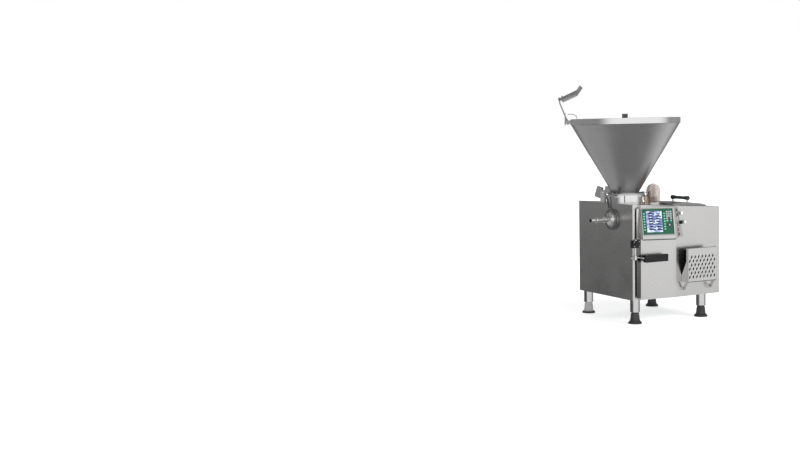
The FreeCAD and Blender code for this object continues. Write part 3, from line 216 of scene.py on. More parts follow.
def clear_plastic():
    """Clear plastic with an amber tint in faint upright streaks; the lighter streaks are painted highlights.
    """
    material, shop, surface = finish_named("clear_amber_plastic")
    tint_and_highlight_streaks = shop.noise(13, 1.5, (1, 1, 0.08))
    haze = shop.noise(9, 3.0)
    mask = shop.spread(tint_and_highlight_streaks, 0.38, 0.62)
    # The lighter streaks are painted highlights on the dome.
    shop.feed(surface.inputs["Base Color"], shop.blend(mask, (0.30, 0.22, 0.185, 1), (0.62, 0.52, 0.47, 1)))
    shop.feed(surface.inputs["Roughness"], 0.05 + haze * 0.12)
    surface.inputs["IOR"].default_value = 1.3
    shop.feed(surface.inputs["Alpha"], shop.spread(tint_and_highlight_streaks * 0.6 + haze * 0.4, 0.38, 0.62, 0.46, 0.28))
    return material


def display_glass():
    """A lit display: pale blue and white panes behind a glossy window."""
    material, shop, surface = finish_named("display_window")
    glow = shop.noise(26, 2.0)
    colour = shop.blend(shop.spread(glow, 0.42, 0.62), (0.20, 0.26, 0.48, 1), (0.62, 0.70, 0.88, 1))
    shop.feed(surface.inputs["Base Color"], colour)
    shop.feed(surface.inputs["Emission Color"], colour)
    surface.inputs["Emission Strength"].default_value = 0.03
    surface.inputs["Roughness"].default_value = 0.2
    return material


def studio_world():
    """Soft studio light for the steel to mirror: bright in front, dim behind, faint glows above and below.

    height is the sine of a direction's rise. The camera itself sees plain white.
    """
    world = bpy.data.worlds.new("studio")
    bpy.context.scene.world = world
    world.use_nodes = True
    shop = Shop(world.node_tree)
    background = world.node_tree.nodes["Background"]
    way = shop.make("ShaderNodeTexCoord", output=0)

    def along(x, y, z):
        return shop.make("ShaderNodeVectorMath", {"operation": "DOT_PRODUCT"}, output=1, n0=way, n1=(x, y, z))

    height = along(0, 0, 1)
    front = shop.spread(along(-0.174, -0.985, 0), 0.12, 0.643) * shop.spread(height, -0.40, -0.09)
    front = front * (0.42 + shop.spread(height, 0.42, 0.10) * 0.46)
    skirting = shop.spread(height, -0.13, -0.03) * shop.spread(height, 0.55, 0.12) * 0.30
    floor_glow = shop.spread(height, -0.19, -0.31) * shop.spread(height, -0.66, -0.46) * 0.46
    top_glow = shop.spread(height, 0.22, 0.90) * 0.40
    low_glow = shop.spread(height, -0.35, -0.75) * 0.22
    side_glow = shop.spread(along(-0.58, 0.41, -0.70), 0.85, 0.99) * 0.20
    right_glow = shop.spread(along(0.863, -0.075, -0.50), 0.80, 1.0) * 0.34
    light = 0.045 + front + skirting + floor_glow + top_glow + low_glow + side_glow + right_glow
    mirrored = shop.make("ShaderNodeCombineColor", Red=light, Green=light, Blue=light)
    by_camera = shop.make("ShaderNodeLightPath", output=0)
    shop.feed(background.inputs["Color"], shop.blend(by_camera, mirrored, grey(1.0)))
    background.inputs["Strength"].default_value = 1.0
    bpy.context.scene.view_settings.view_transform = "Standard"


def add_light(name, spot, target, size, power):
    """A square lamp of the given size in metres that the steel doesn't mirror."""
    data = bpy.data.lights.new(name, "AREA")
    data.size = size
    data.energy = power
    lamp = bpy.data.objects.new(name, data)
    bpy.context.scene.collection.objects.link(lamp)
    lamp.location = spot
    lamp.rotation_euler = (Vector(target) - Vector(spot)).to_track_quat("-Z", "Y").to_euler()
    lamp.visible_camera = False
    lamp.visible_glossy = False


def lay_floor():
    """A pale floor that glows into the white backdrop further out."""
    deselect()
    bpy.ops.mesh.primitive_circle_add(vertices=96, radius=60, fill_type="NGON", location=(0, 0, -0.0005))
    floor = bpy.context.object
    floor.name = "studio_floor"
    material, shop, surface = finish_named("pale_floor")
    spots = shop.noise(2.0, 3.0)
    shop.feed(surface.inputs["Base Color"], shop.blend(spots, grey(0.86), grey(0.90)))
    surface.inputs["Roughness"].default_value = 0.8
    reach = shop.make("ShaderNodeVectorMath", {"operation": "LENGTH"}, output=1, n0=shop.where())
    glow = shop.blend(shop.spread(reach, 1.0, 4.0), grey(0.54), grey(1.0))
    shop.feed(surface.inputs["Emission Color"], glow)
    surface.inputs["Emission Strength"].default_value = 1.0
    floor.data.materials.append(material)
    floor.visible_glossy = False


# Modelling helpers

def deselect():
    if bpy.context.object and bpy.context.object.mode != "OBJECT":
        bpy.ops.object.mode_set(mode="OBJECT")
    bpy.ops.object.select_all(action="DESELECT")


def hold(piece):
    """Selects one piece alone."""
    deselect()
    piece.select_set(True)
    bpy.context.view_layer.objects.active = piece


def settle(piece, name, matrix, material, body, smooth=40):
    """Names a piece, puts its place into its mesh, gives it its finish and the body that carries it.

    Edges flatter than smooth degrees are shaded round.
    """
    hold(piece)
    bpy.ops.object.transform_apply(location=True, rotation=True, scale=True)
    piece.data.transform(matrix)
    piece.name = name
    piece.data.materials.clear()
    piece.data.materials.append(material)
    if smooth:
        bpy.ops.object.shade_smooth_by_angle(angle=math.radians(smooth))
    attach(piece, body)
    return piece


def at_point(point, out=UP, along=None):
    """A matrix that stands a piece drawn along +Z at a point, facing out, with its X along the given way."""
    z = Vector(out).normalized()
    x = Vector(along).normalized() if along else z.orthogonal().normalized()
    y = z.cross(x).normalized()
    x = y.cross(z)
    turn = Matrix((x, y, z)).transposed().to_4x4()
    return Matrix.Translation(place(*point)) @ turn


def turn_by(angle, axis="Z"):
    return Matrix.Rotation(math.radians(angle), 4, axis)


def turned(profile, sides=48):
    """Spins a profile of (radius, height) round the Z axis."""
    deselect()
    bpy.ops.mesh.primitive_plane_add(size=0.01, location=(0, 0, 0))
    piece = bpy.context.object
    bpy.ops.object.mode_set(mode="EDIT")
    bpy.ops.mesh.delete(type="VERT")
    bpy.ops.object.mode_set(mode="OBJECT")
    piece.data.from_pydata([(mm(r), 0, mm(h)) for r, h in profile],
                           [(k, k + 1) for k in range(len(profile) - 1)], [])
    hold(piece)
    bpy.ops.object.mode_set(mode="EDIT")
    bpy.ops.mesh.select_all(action="SELECT")
    bpy.ops.mesh.spin(steps=sides, angle=2 * math.pi, center=(0, 0, 0), axis=(0, 0, 1))
    bpy.ops.mesh.select_all(action="SELECT")
    bpy.ops.mesh.remove_doubles(threshold=0.00002)
    bpy.ops.mesh.normals_make_consistent(inside=False)
    bpy.ops.object.mode_set(mode="OBJECT")
    return piece


def block(width, depth, height, rounding=0.6, segments=2):
    """A block standing on its own middle, with its edges rounded."""
    deselect()
    bpy.ops.mesh.primitive_cube_add(size=1, location=(0, 0, mm(height) / 2))
    piece = bpy.context.object
    piece.scale = (mm(width), mm(depth), mm(height))
    bpy.ops.object.transform_apply(location=True, rotation=True, scale=True)
    bpy.ops.object.mode_set(mode="EDIT")
    bpy.ops.mesh.select_all(action="SELECT")
    bpy.ops.mesh.bevel(offset=mm(rounding), offset_type="OFFSET", segments=segments, affect="EDGES")
    bpy.ops.object.mode_set(mode="OBJECT")
    return piece


def copy_to(piece, matrix):
    """A copy of a piece, with a matrix put into its mesh."""
    twin = piece.copy()
    twin.data = piece.data.copy()
    bpy.context.scene.collection.objects.link(twin)
    twin.data.transform(matrix)
    return twin


def gather(pieces):
    """Joins pieces into the first one."""
    deselect()
    for piece in pieces:
        piece.select_set(True)
    bpy.context.view_layer.objects.active = pieces[0]
    bpy.ops.object.join()
    return bpy.context.object


def spread_copies(pattern, matrices):
    """One object made of copies of a pattern piece, which is used up."""
    copies = [copy_to(pattern, matrix) for matrix in matrices]
    bpy.data.objects.remove(pattern)
    return gather(copies)


def ring(radius, thickness, sides, name, matrix, material, body):
    """Settles a round bead; its radius is measured to the bead's middle."""
    deselect()
    bpy.ops.mesh.primitive_torus_add(major_radius=mm(radius), minor_radius=mm(thickness),
                                     major_segments=sides, minor_segments=10, location=(0, 0, 0))
    settle(bpy.context.object, name, matrix, material, body, ROUND)


def hex_bolt(radius, height):
    """A hexagon head with a washer face and a chamfered crown."""
    deselect()
    bpy.ops.mesh.primitive_cylinder_add(vertices=6, radius=mm(radius), depth=mm(height),
                                        location=(0, 0, mm(height) / 2))
    piece = bpy.context.object
    bpy.ops.object.mode_set(mode="EDIT")
    bpy.ops.mesh.select_all(action="SELECT")
    bpy.ops.mesh.bevel(offset=mm(radius * 0.10), segments=2, affect="EDGES")
    bpy.ops.object.mode_set(mode="OBJECT")
    washer = turned([(0, 0), (radius * 1.25, 0), (radius * 1.25, 1.2), (radius * 0.9, 1.5), (0, 1.5)], 24)
    return gather([piece, washer])


def wire(points, radius):
    """A bent wire through points of the housing's frame."""
    deselect()
    data = bpy.data.curves.new("wire", "CURVE")
    data.dimensions = "3D"
    data.bevel_depth = mm(radius)
    data.bevel_resolution = 4
    data.use_fill_caps = True
    spline = data.splines.new("BEZIER")
    spline.bezier_points.add(len(points) - 1)
    for knot, point in zip(spline.bezier_points, points):
        knot.co = place(*point)
        knot.handle_left_type = knot.handle_right_type = "AUTO"
    curve = bpy.data.objects.new("wire", data)
    bpy.context.scene.collection.objects.link(curve)
    hold(curve)
    bpy.ops.object.convert(target="MESH")
    return bpy.context.object


# Finishes

def hopper_steel():
    """The hopper's brushed cone, with its upright rim band polished brighter."""
    material, shop, surface = finish_named("hopper_cone_steel")
    brushed = shop.noise(30, 2.0, (1, 1, 14))
    cloud = shop.noise(3.2, 4.0)
    z = shop.make("ShaderNodeSeparateXYZ", output=2, Vector=shop.where())
    band = shop.spread(z, mm(RIM_FOOT), mm(RIM_FOOT + 2))
    cone = shop.blend(shop.spread(brushed + cloud * 0.6, 0.6, 1.0), grey(0.49), grey(0.55))
    shop.feed(surface.inputs["Base Color"], shop.blend(band, cone, grey(0.68)))
    surface.inputs["Metallic"].default_value = 1.0
    shop.feed(surface.inputs["Roughness"], 0.34 - band * 0.15 + (cloud - 0.5) * 0.12)
    shop.feed(surface.inputs["Normal"], shop.bump(brushed, 0.03, 0.002))
    return material


def grey_foot():
    """A light grey foot sleeve on a dark base."""
    material, shop, surface = finish_named("grey_foot_sleeve")
    wear = shop.noise(14, 4.0)
    z = shop.make("ShaderNodeSeparateXYZ", output=2, Vector=shop.where())
    sleeve = shop.blend(wear, grey(0.34), grey(0.44))
    shop.feed(surface.inputs["Base Color"], shop.blend(shop.spread(z, 0.0195, 0.0205), grey(0.03), sleeve))
    shop.feed(surface.inputs["Roughness"], 0.42 + wear * 0.16)
    return material


blasted = metal("blasted_steel", 0.66, 0.28, grain_scale=420, grain_depth=0.05, blotch=0.05, warm=0.008)
seam_steel = metal("brushed_cone_steel", 0.52, 0.34, grain=(1, 1, 14), grain_scale=30, grain_depth=0.03,
                   blotch=0.06)
bright = metal("bright_steel", 0.73, 0.17, grain=(1, 1, 6), grain_scale=120, grain_depth=0.02, blotch=0.05)
machined = metal("machined_steel", 0.56, 0.27, grain=(9, 1, 1), grain_scale=160, grain_depth=0.04)
shaded_steel = metal("shaded_steel", 0.14, 0.30, grain=(1, 1, 8), grain_scale=90, grain_depth=0.03)
dull_steel = metal("dull_steel", 0.34, 0.36, grain_scale=160, blotch=0.10)
panel_frame = metal("panel_frame_steel", 0.30, 0.34, grain_scale=200, bare=0.8)
lid_steel = metal("lid_steel", 0.30, 0.30, grain_scale=420, grain_depth=0.05, blotch=0.05)
satin_console = metal("satin_console_steel", 0.56, 0.42, grain_scale=420, grain_depth=0.05, blotch=0.05,
                      bare=0.6)
sand_cast = metal("sand_cast_steel", 0.46, 0.44, grain_scale=700, grain_depth=0.22, blotch=0.22)
dark_metal = metal("dark_metal", 0.12, 0.42, grain_scale=90)
mirror_steel = metal("mirror_steel", 0.80, 0.16, grain_scale=30, grain_depth=0.01, blotch=0.05)
old_brass = metal("old_brass", 0.42, 0.34, grain_scale=140, blotch=0.2, warm=0.22)
frame_paint = plastic("grey_frame_paint", (0.30, 0.31, 0.32), 0.45, coat=0.2)
motor_paint = plastic("dark_motor_paint", (0.10, 0.12, 0.15), 0.45, coat=0.2)
black = plastic("black_plastic", (0.012, 0.012, 0.013), 0.52, grain=0.10, shine=0.22)
foot_black = plastic("foot_plastic", (0.030, 0.030, 0.031), 0.55, grain=0.16, scale=600)
grip_green = plastic("green_black_grip", (0.006, 0.022, 0.019), 0.20, coat=0.5)
panel_green = plastic("green_membrane", (0.001, 0.088, 0.044), 0.5)
mint = plastic("mint_key", (0.22, 0.54, 0.42), 0.42)
key_grey = plastic("grey_key", (0.34, 0.42, 0.41), 0.42)
key_dark = plastic("dark_key", (0.02, 0.035, 0.035), 0.4)
key_red = plastic("red_key", (0.16, 0.02, 0.035), 0.4)
ink = plastic("display_ink", (0.006, 0.010, 0.045), 0.4)
slate_ink = plastic("display_slate", (0.07, 0.10, 0.25), 0.4)
white = plastic("white_plastic", (0.66, 0.66, 0.645), 0.28, coat=0.2)
button_dark = plastic("dark_button", (0.014, 0.016, 0.016), 0.40, shine=0.3)
button_green = plastic("grey_green_button", (0.14, 0.20, 0.17), 0.35, coat=0.3)
button_red = plastic("red_button", (0.30, 0.05, 0.08), 0.35, coat=0.3)
foot_grey = grey_foot()
rubber = plastic("seal_rubber", (0.03, 0.03, 0.03), 0.62, grain=0.12)
amber = clear_plastic()
display = display_glass()

NODE_FINISHES = (
    (frame_paint, "base_frame gearbox_case vacuum_pump"),
    (motor_paint, "main_motor"),
    (blasted, "housing_shell front_cover lid_well vent_hood"),
    (satin_console, "console_case"),
    (lid_steel, "top_lid"),
    (hopper_steel(), "hopper"),
    (sand_cast, "hopper_hinge_arm"),
    (mirror_steel, "mirror_plate"),
    (dull_steel, "mirror_rod mirror_bracket outlet_flange"),
    (shaded_steel, "counter_arm clamp_handle_1 clamp_handle_2 clamp_handle_3"),
    (dark_metal, "locking_lever"),
    (machined, "control_collars screw_housing motor_pinion"),
    (machined, "feed_screw_front feed_screw_rear timing_gear_front timing_gear_rear"),
    (panel_green, "control_panel"),
    (display, "screen_window"),
    (black, "knee_bearing knee_pad trap_float"),
    (amber, "vacuum_dome"),
    (old_brass, "vacuum_valve"),
    (grip_green, "lid_handle"),
    (button_dark, "push_button_1 push_button_2 push_button_5"),
    (button_green, "push_button_3"),
    (button_red, "push_button_4"),
    (white, "mushroom_button_upper mushroom_button_lower"),
    (foot_grey, "foot_rear_left"),
    (foot_black, "foot_front_left foot_front_right foot_rear_right"),
)


def finish_nodes():
    """Gives every CAD node its finish; a node that isn't listed is bright steel."""
    finish = {name: material for material, names in NODE_FINISHES for name in names.split()}
    for name, node in nodes.items():
        node.data.materials.clear()
        node.data.materials.append(finish.get(name, bright))


# Console: membrane, keys and display. The panel has its own frame: along its lower edge, up it and out of it.

PANEL_TURN = math.radians(18)
PANEL_TILT = math.radians(13.5)
PANEL_HEIGHT = 236
PANEL_ALONG = Vector((math.cos(PANEL_TURN), -math.sin(PANEL_TURN), 0))
PANEL_LEVEL = Vector((-math.sin(PANEL_TURN), -math.cos(PANEL_TURN), 0))
PANEL_UP = UP * math.cos(PANEL_TILT) - PANEL_LEVEL * math.sin(PANEL_TILT)
PANEL_OUT = PANEL_LEVEL * math.cos(PANEL_TILT) + UP * math.sin(PANEL_TILT)
PANEL_CORNER = Vector((90, -12, 1065)) - PANEL_UP * PANEL_HEIGHT
PANEL_MIDDLE = (146, 118)
DISPLAY_MIDDLE = (111, 118)
CURSOR_MIDDLE = (252, 84)
KEY_FOOT = 3.4  # the membrane's face
KEY_HEIGHT = 1.3
KEY_ROWS = [45.5 + 24.6 * k for k in range(7)]
BAR_FOOT = 4.0  # the display pane's face
ROW_SLIP = 1.2  # how much further left each higher row of the display starts


def on_panel(a, b, height):
    """Stands a piece on the control panel, a from its left edge and b up from its bottom edge."""
    point = PANEL_CORNER + PANEL_ALONG * a + PANEL_UP * b + PANEL_OUT * height
    return at_point(point, PANEL_OUT, PANEL_ALONG)


def settle_key(piece, name, matrix, material):
    settle(piece, name, matrix, material, "machine")


def dress_panel():
    """The membrane with its keys, the seal down its right side and the display's frame."""
    settle_key(block(291, 235, 0.6, 0.2), "panel_membrane", on_panel(*PANEL_MIDDLE, 2.95), panel_green)
    for name, a in (("panel_keys_left", 16.5), ("panel_keys_right", 209)):
        keys = spread_copies(block(14, 12, KEY_HEIGHT, 0.55), [on_panel(a, b, KEY_FOOT) for b in KEY_ROWS])
        settle_key(keys, name, STAY, mint)
    pad = [on_panel(233 + 19.5 * column, 207 - 20.5 * row, KEY_FOOT)
           for column in range(3) for row in range(4) if (column, row) != (1, 3)]
    settle_key(spread_copies(block(15.5, 15.5, KEY_HEIGHT, 0.45), pad), "number_keys", STAY, key_grey)
    settle_key(block(15.5, 15.5, KEY_HEIGHT, 0.45), "stop_key", on_panel(252.5, 145.5, KEY_FOOT), key_red)
    entries = [on_panel(a, 123, KEY_FOOT) for a in (235, 270)]
    settle_key(spread_copies(block(15, 11, KEY_HEIGHT, 0.5), entries), "entry_keys", STAY, mint)
    cursor = on_panel(*CURSOR_MIDDLE, KEY_FOOT)
    cross = spread_copies(block(52, 19, KEY_HEIGHT, 0.5), [cursor, cursor @ turn_by(90)])
    settle_key(cross, "cursor_cross", STAY, key_dark)
    middle = on_panel(*CURSOR_MIDDLE, KEY_FOOT + 1) @ turn_by(45)
    settle_key(block(13, 13, 1.4, 0.6), "cursor_middle", middle, key_grey)
    settle_key(block(10, PANEL_HEIGHT, 1.6, 0.4), "panel_side_seal", on_panel(286, 118, 3.3), key_dark)
    border = hollow_frame(156, 202, 1.0, 0.3, 3.5)
    settle(border, "display_frame", on_panel(*DISPLAY_MIDDLE, KEY_FOOT), key_dark, "machine",
           30)


def hollow_frame(width, depth, height, rounding, border):
    """A block with its middle taken out, so that a frame of the given border stays."""
    frame_piece = block(width, depth, height, rounding)
    hold(frame_piece)
    bpy.ops.object.mode_set(mode="EDIT")
    bpy.ops.mesh.select_all(action="DESELECT")
    bpy.ops.object.mode_set(mode="OBJECT")
    large = 0.5 * mm(width) * mm(depth)
    for face in frame_piece.data.polygons:
        face.select = abs(face.normal.z) > 0.9 and face.area > large
    bpy.ops.object.mode_set(mode="EDIT")
    bpy.ops.mesh.inset(thickness=mm(border), depth=0)
    bpy.ops.mesh.bridge_edge_loops()
    bpy.ops.object.mode_set(mode="OBJECT")
    return frame_piece


def seal_console():
    """Dark strips under and beside the console that are painted shadow lines, the polished edge above the
    lower one and the panel's frame.
    """
    for name, a, b, height, length, width, material, angle in (
            # The two rubber strips are painted shadow lines under and beside the console.
            ("console_shadow_line_low", 146, -47.5, -0.6, 316, 9, rubber, 0),
            ("console_edge_low", 146, -41, -0.6, 316, 3, bright, 0),
            ("console_shadow_line_side", -11.4, 98, -0.6, 284, 3.4, rubber, 90),
            ("panel_frame_low", 146, -4, 4.4, 300, 6, panel_frame, 0),
            ("panel_frame_high", 146, 240, 4.4, 300, 6, panel_frame, 0),
            ("panel_frame_left", -4, 118, 4.4, 250, 5, panel_frame, 90)):
        spot = on_panel(a, b, height) @ turn_by(angle)
        settle(block(length, width, 1.2, 0.4), name, spot, material, "machine")


def fill_display():
    """The lit pane, with generic bars and blocks laid out as a filler's running values are."""
    pane = block(148, 194, 0.7, 0.2)
    settle(pane, "display_pane", on_panel(*DISPLAY_MIDDLE, KEY_FOOT), display, "machine")
    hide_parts("screen_window")
    bars = []
    blocks = []
    for row, b in enumerate(KEY_ROWS):
        slip = row * ROW_SLIP
        bars.append((82 - slip, b + 3, 42 - (row % 2) * 5, 15))
        blocks.append((112 - slip, b - 3, 22, 17))
        if b != KEY_ROWS[-1]:
            bars.append((150 - slip, b + 1, 36 + (row % 3) * 3, 14))
            blocks.append((176 - slip, b - 4, 16, 15))
    bars.append((90, 209, 44, 8))
    blocks.append((150, 190, 36, 12))
    for name, layout, height, material in (("display_bars", bars, 0.5, ink),
                                           ("display_blocks", blocks, 0.3, slate_ink)):
        unit = block(1, 1, height, 0.05, 1)
        spots = [on_panel(a, b, BAR_FOOT) @ Matrix.Diagonal((w, h, 1, 1)) for a, b, w, h in layout]
        settle(spread_copies(unit, spots), name, STAY, material, "machine", 0)


# Console: buttons

BUTTON_PROUD = 6  # from a collar's end to its push button's face
RIM_DROP = 9  # from a mushroom button's CAD face back to its widest line


def button_out():
    """The way the buttons stand out of the console's flank, against the way they are pressed."""
    press = next(joint for joint in frame["joints"] if joint["name"] == "button_1_press")
    return -Vector(press["axis"])


def button_line(name, out):
    """A button's axis, as its point nearest the row frame's origin, and how far its face reaches along it."""
    points = [Vector(corner.co) * 1000 for corner in nodes[name].data.vertices]
    reach = max(point.dot(out) for point in points)
    face = [point for point in points if point.dot(out) > reach - 0.5]
    side = out.orthogonal().normalized()
    line = Vector((0, 0, 0))
    for way in (side, out.cross(side)):
        across = [point.dot(way) for point in face]
        line += way * (min(across) + max(across)) / 2
    return line, reach


def mushroom_head(radius):
    """A domed cap on a short stem, drawn from the CAD button's face."""
    r = radius
    profile = [(0, 8), (r * 0.25, 7.7), (r * 0.50, 6.4), (r * 0.72, 3.6), (r * 0.88, -0.6), (r * 0.97, -5),
               (r, -8.6), (r * 0.985, -9.6), (r * 0.93, -10.6), (r * 0.8, -11.2), (r * 0.55, -12.2),
               (r * 0.3, -12.4), (5.6, -12.4), (5.6, -17), (0, -17)]
    return turned(profile, 56)


def dress_controls():
    """A ring round each push button, and turned caps for the two mushroom buttons."""
    out = button_out()
    for k in range(1, 6):
        line, reach = button_line("push_button_%d" % k, out)
        rim = turned([(11.4, 0.1), (15.3, 0.1), (15.3, -7.5), (16.4, -7.5), (16.4, 0.2), (15.2, 1.6),
                      (12, 1.6), (11.4, 1.0), (11.4, 0.1)], 40)
        spot = at_point(line + out * (reach - BUTTON_PROUD) + ORIGIN, out)
        settle(rim, "button_ring_%d" % k, spot, machined, "machine")
    for name, radius in (("upper", 25), ("lower", 20)):
        button = "mushroom_button_" + name
        line, reach = button_line(button, out)
        tip = line + out * reach + ORIGIN
        cap = settle(mushroom_head(radius), "mushroom_cap_" + name, at_point(tip, out), white, button,
                     ROUND)
        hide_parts(button)
        ring(radius + 0.6, 1.2, 64, "mushroom_rim_" + name, at_point(tip - out * RIM_DROP, out), dull_steel,
             button)
        if name == "lower":
            sleeve = turned([(15.1, -54), (16.6, -54), (16.6, -23.5), (15.1, -22.6), (15.1, -54)], 48)
            settle(sleeve, "mushroom_sleeve", at_point(tip, out), black, "machine")


# Hopper and mirror

SEAM_ANGLE = 75
SEAM_RADIUS, SEAM_FOOT = 126.2, 1206
SEAM_RUN, SEAM_RISE = 374, 640
SEAM_STEPS = 24
# Angle, radius and height round the hopper's axis
BOW_POINTS = ((143.7, 531, 1948), (138, 516, 1950), (130, 507, 1950), (123, 505, 1941), (118.5, 504.5, 1924),
              (118, 504, 1893))


def dress_hopper():
    """Weld beads, the rolled rim, the seam, the bow under the mirror's bracket and the flange's bolts."""
    for name, radius, thickness, sides, z in (("cone_weld_top", 499.5, 1.6, 160, RIM_FOOT),
                                              ("cone_weld_foot", 128.5, 2.0, 96, 1203.5),
                                              ("rim_roll", 504, 2.3, 180, 1899.2)):
        ring(radius, thickness, sides, name, at_point(HOPPER + UP * z), bright, "hopper")
    seam = []
    for k in range(SEAM_STEPS + 1):
        t = k / SEAM_STEPS
        seam.append(round_hopper(SEAM_ANGLE, SEAM_RADIUS + SEAM_RUN * t, SEAM_FOOT + SEAM_RISE * t))
    settle(wire(seam, 0.9), "cone_seam", STAY, seam_steel, "hopper", ROUND)
    bow = [round_hopper(angle, radius, z) for angle, radius, z in BOW_POINTS]
    settle(wire(bow, 2.8), "rim_bow", STAY, dull_steel, "hopper", ROUND)
    spots = [at_point(round_hopper(angle, 147, 1200)) for angle in range(0, 360, 60)]
    settle(spread_copies(hex_bolt(5.5, 5), spots), "flange_bolts", STAY, bright, "hopper")


MIRROR_HEADING, MIRROR_RISE, MIRROR_LEAN = math.radians(-41), math.radians(24), math.radians(-20)
MIRROR_KNUCKLE = (143.7, 606, 2094)  # angle, radius and height round the hopper's axis
PANE_WIDTH, PANE_DEPTH, PANE_THICKNESS = 142, 190, 4
PANE_MIDDLE = (89.4, 83, -39)
TINY = 1e-6  # metres


def fold_mirror():
    """The mirror's plate: a flat pane with an ear turned up at its rod and a wing turned up at its other end.

    Each wing is drawn out of one edge of the pane. Its near and far corners stand off that edge by the given
    lengths along the pane and up from it.
    """
    flat = Vector((math.cos(MIRROR_HEADING), math.sin(MIRROR_HEADING), 0))
    level = Vector((-math.sin(MIRROR_HEADING), math.cos(MIRROR_HEADING), 0))
    along = flat * math.cos(MIRROR_RISE) + UP * math.sin(MIRROR_RISE)
    out = along.cross(level)
    across = level * math.cos(MIRROR_LEAN) - out * math.sin(MIRROR_LEAN)
    stand = at_point(round_hopper(*MIRROR_KNUCKLE), along.cross(across), along)
    deselect()
    bpy.ops.mesh.primitive_plane_add(size=1, location=tuple(mm(c) for c in PANE_MIDDLE))
    pane = bpy.context.object
    pane.scale = (mm(PANE_WIDTH), mm(PANE_DEPTH), 1)
    bpy.ops.object.transform_apply(location=True, rotation=True, scale=True)
    for outermost, near, far in ((min, (-9, 31), (-5, 16)), (max, (80, 48), (47, 29))):
        hold(pane)
        bpy.ops.object.mode_set(mode="EDIT")
        bpy.ops.mesh.select_mode(type="EDGE")
        bpy.ops.mesh.select_all(action="DESELECT")
        bpy.ops.object.mode_set(mode="OBJECT")
        edge_x = outermost(corner.co.x for corner in pane.data.vertices)
        for edge in pane.data.edges:
            edge.select = all(abs(pane.data.vertices[v].co.x - edge_x) < TINY for v in edge.vertices)
        bpy.ops.object.mode_set(mode="EDIT")
        bpy.ops.mesh.extrude_edges_move(TRANSFORM_OT_translate={"value": (mm(near[0]), 0, mm(near[1]))})
        bpy.ops.object.mode_set(mode="OBJECT")
        for corner in pane.data.vertices:
            if abs(corner.co.x - edge_x - mm(near[0])) < TINY and corner.co.y > mm(PANE_MIDDLE[1]):
                corner.co.x = edge_x + mm(far[0])
                corner.co.z = mm(far[1] + PANE_MIDDLE[2])
    sheet = pane.modifiers.new("sheet", "SOLIDIFY")
    sheet.thickness = mm(PANE_THICKNESS)
    edges = pane.modifiers.new("edges", "BEVEL")
    edges.width = mm(1.2)
    edges.segments = 2
    hold(pane)
    bpy.ops.object.modifier_apply(modifier="sheet")
    bpy.ops.object.modifier_apply(modifier="edges")
    eye = turned([(10.3, -2.4), (15, -2.4), (15.4, -1.8), (15.4, 1.8), (15, 2.4), (10.3, 2.4),
                  (10.3, -2.4)], 36)
    eyes = spread_copies(eye, [Matrix.Translation((0, mm(y), 0)) @ turn_by(90, "X") for y in (-9.5, 9.5)])
    mirror = gather([pane, eyes])
    settle(mirror, "mirror_pane", stand, mirror_steel, "mirror_plate", 30)
    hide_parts("mirror_plate")


# Collar, outlet and housing

COLLAR_RADIUS = 160
SPLIT_ANGLE = 231.5
HOOD_X = 709
COVER_LEFT, COVER_FOLD, FOLD_DEPTH = 90, 475, 22  # the fold stands this far in front of the cover's sides


def dress_collar():
    """The beads on the collar's edges, and the line where it is split."""
    for z, name in ((1183.5, "high"), (1117, "low")):
        ring(COLLAR_RADIUS, 1.1, 120, "collar_edge_" + name, at_point(HOPPER + UP * z), bright, "machine")
    away = round_hopper(SPLIT_ANGLE, 1, 0) - HOPPER
    split = at_point(round_hopper(SPLIT_ANGLE, COLLAR_RADIUS - 0.6, 1150), away, Vector((-away.y, away.x, 0)))
    settle(block(8, 64, 1.6, 0.4), "collar_split", split, rubber, "machine")


def on_outlet(x, angle=0, radius=0):
    """Stands a piece round the outlet's axis, or at an angle in degrees and a radius from it, facing left."""
    a = math.radians(angle)
    return at_point(Vector((x, SCREWS_Y + radius * math.cos(a), SCREWS_Z + radius * math.sin(a))), LEFT)


def dress_outlet():
    """The flange's bolts, rings and seal, and the clamp on the filling pipe."""
    spots = [on_outlet(-22, 30 + 60 * k, 83) for k in range(6)]
    settle(spread_copies(hex_bolt(5.5, 5), spots), "outlet_bolts", STAY, bright, "machine")
    for name, x, radius, thickness in (("foot", -31, 62, 1.5), ("neck", -64, 24.6, 1.6),
                                       ("bead", -84, 25.2, 2.0)):
        ring(radius, thickness, 80, "reducer_ring_" + name, on_outlet(x), bright, "machine")
    # A dark ring at the flange's edge: painted shade round the flange.
    ring(93, 4.2, 100, "outlet_dark_ring", on_outlet(-20.5), shaded_steel, "machine")
    ring(99.2, 1.2, 100, "outlet_seal", on_outlet(-1), rubber, "machine")
    clamp = turned([(23.1, -9), (26.4, -8), (27.2, -5), (27.2, 5), (26.4, 8), (23.1, 9), (23.1, 7), (25, 4),
                    (25, -4), (23.1, -7), (23.1, -9)], 64)
    settle(clamp, "pipe_clamp", on_outlet(-187), bright, "machine")


def cover_front(x):
    """Where the folded front cover stands at an x, on the front face's own line."""
    if x < COVER_FOLD:
        return -FOLD_DEPTH * (x - COVER_LEFT) / (COVER_FOLD - COVER_LEFT)
    return -FOLD_DEPTH * (HOUSING_WIDTH - x) / (HOUSING_WIDTH - COVER_FOLD)


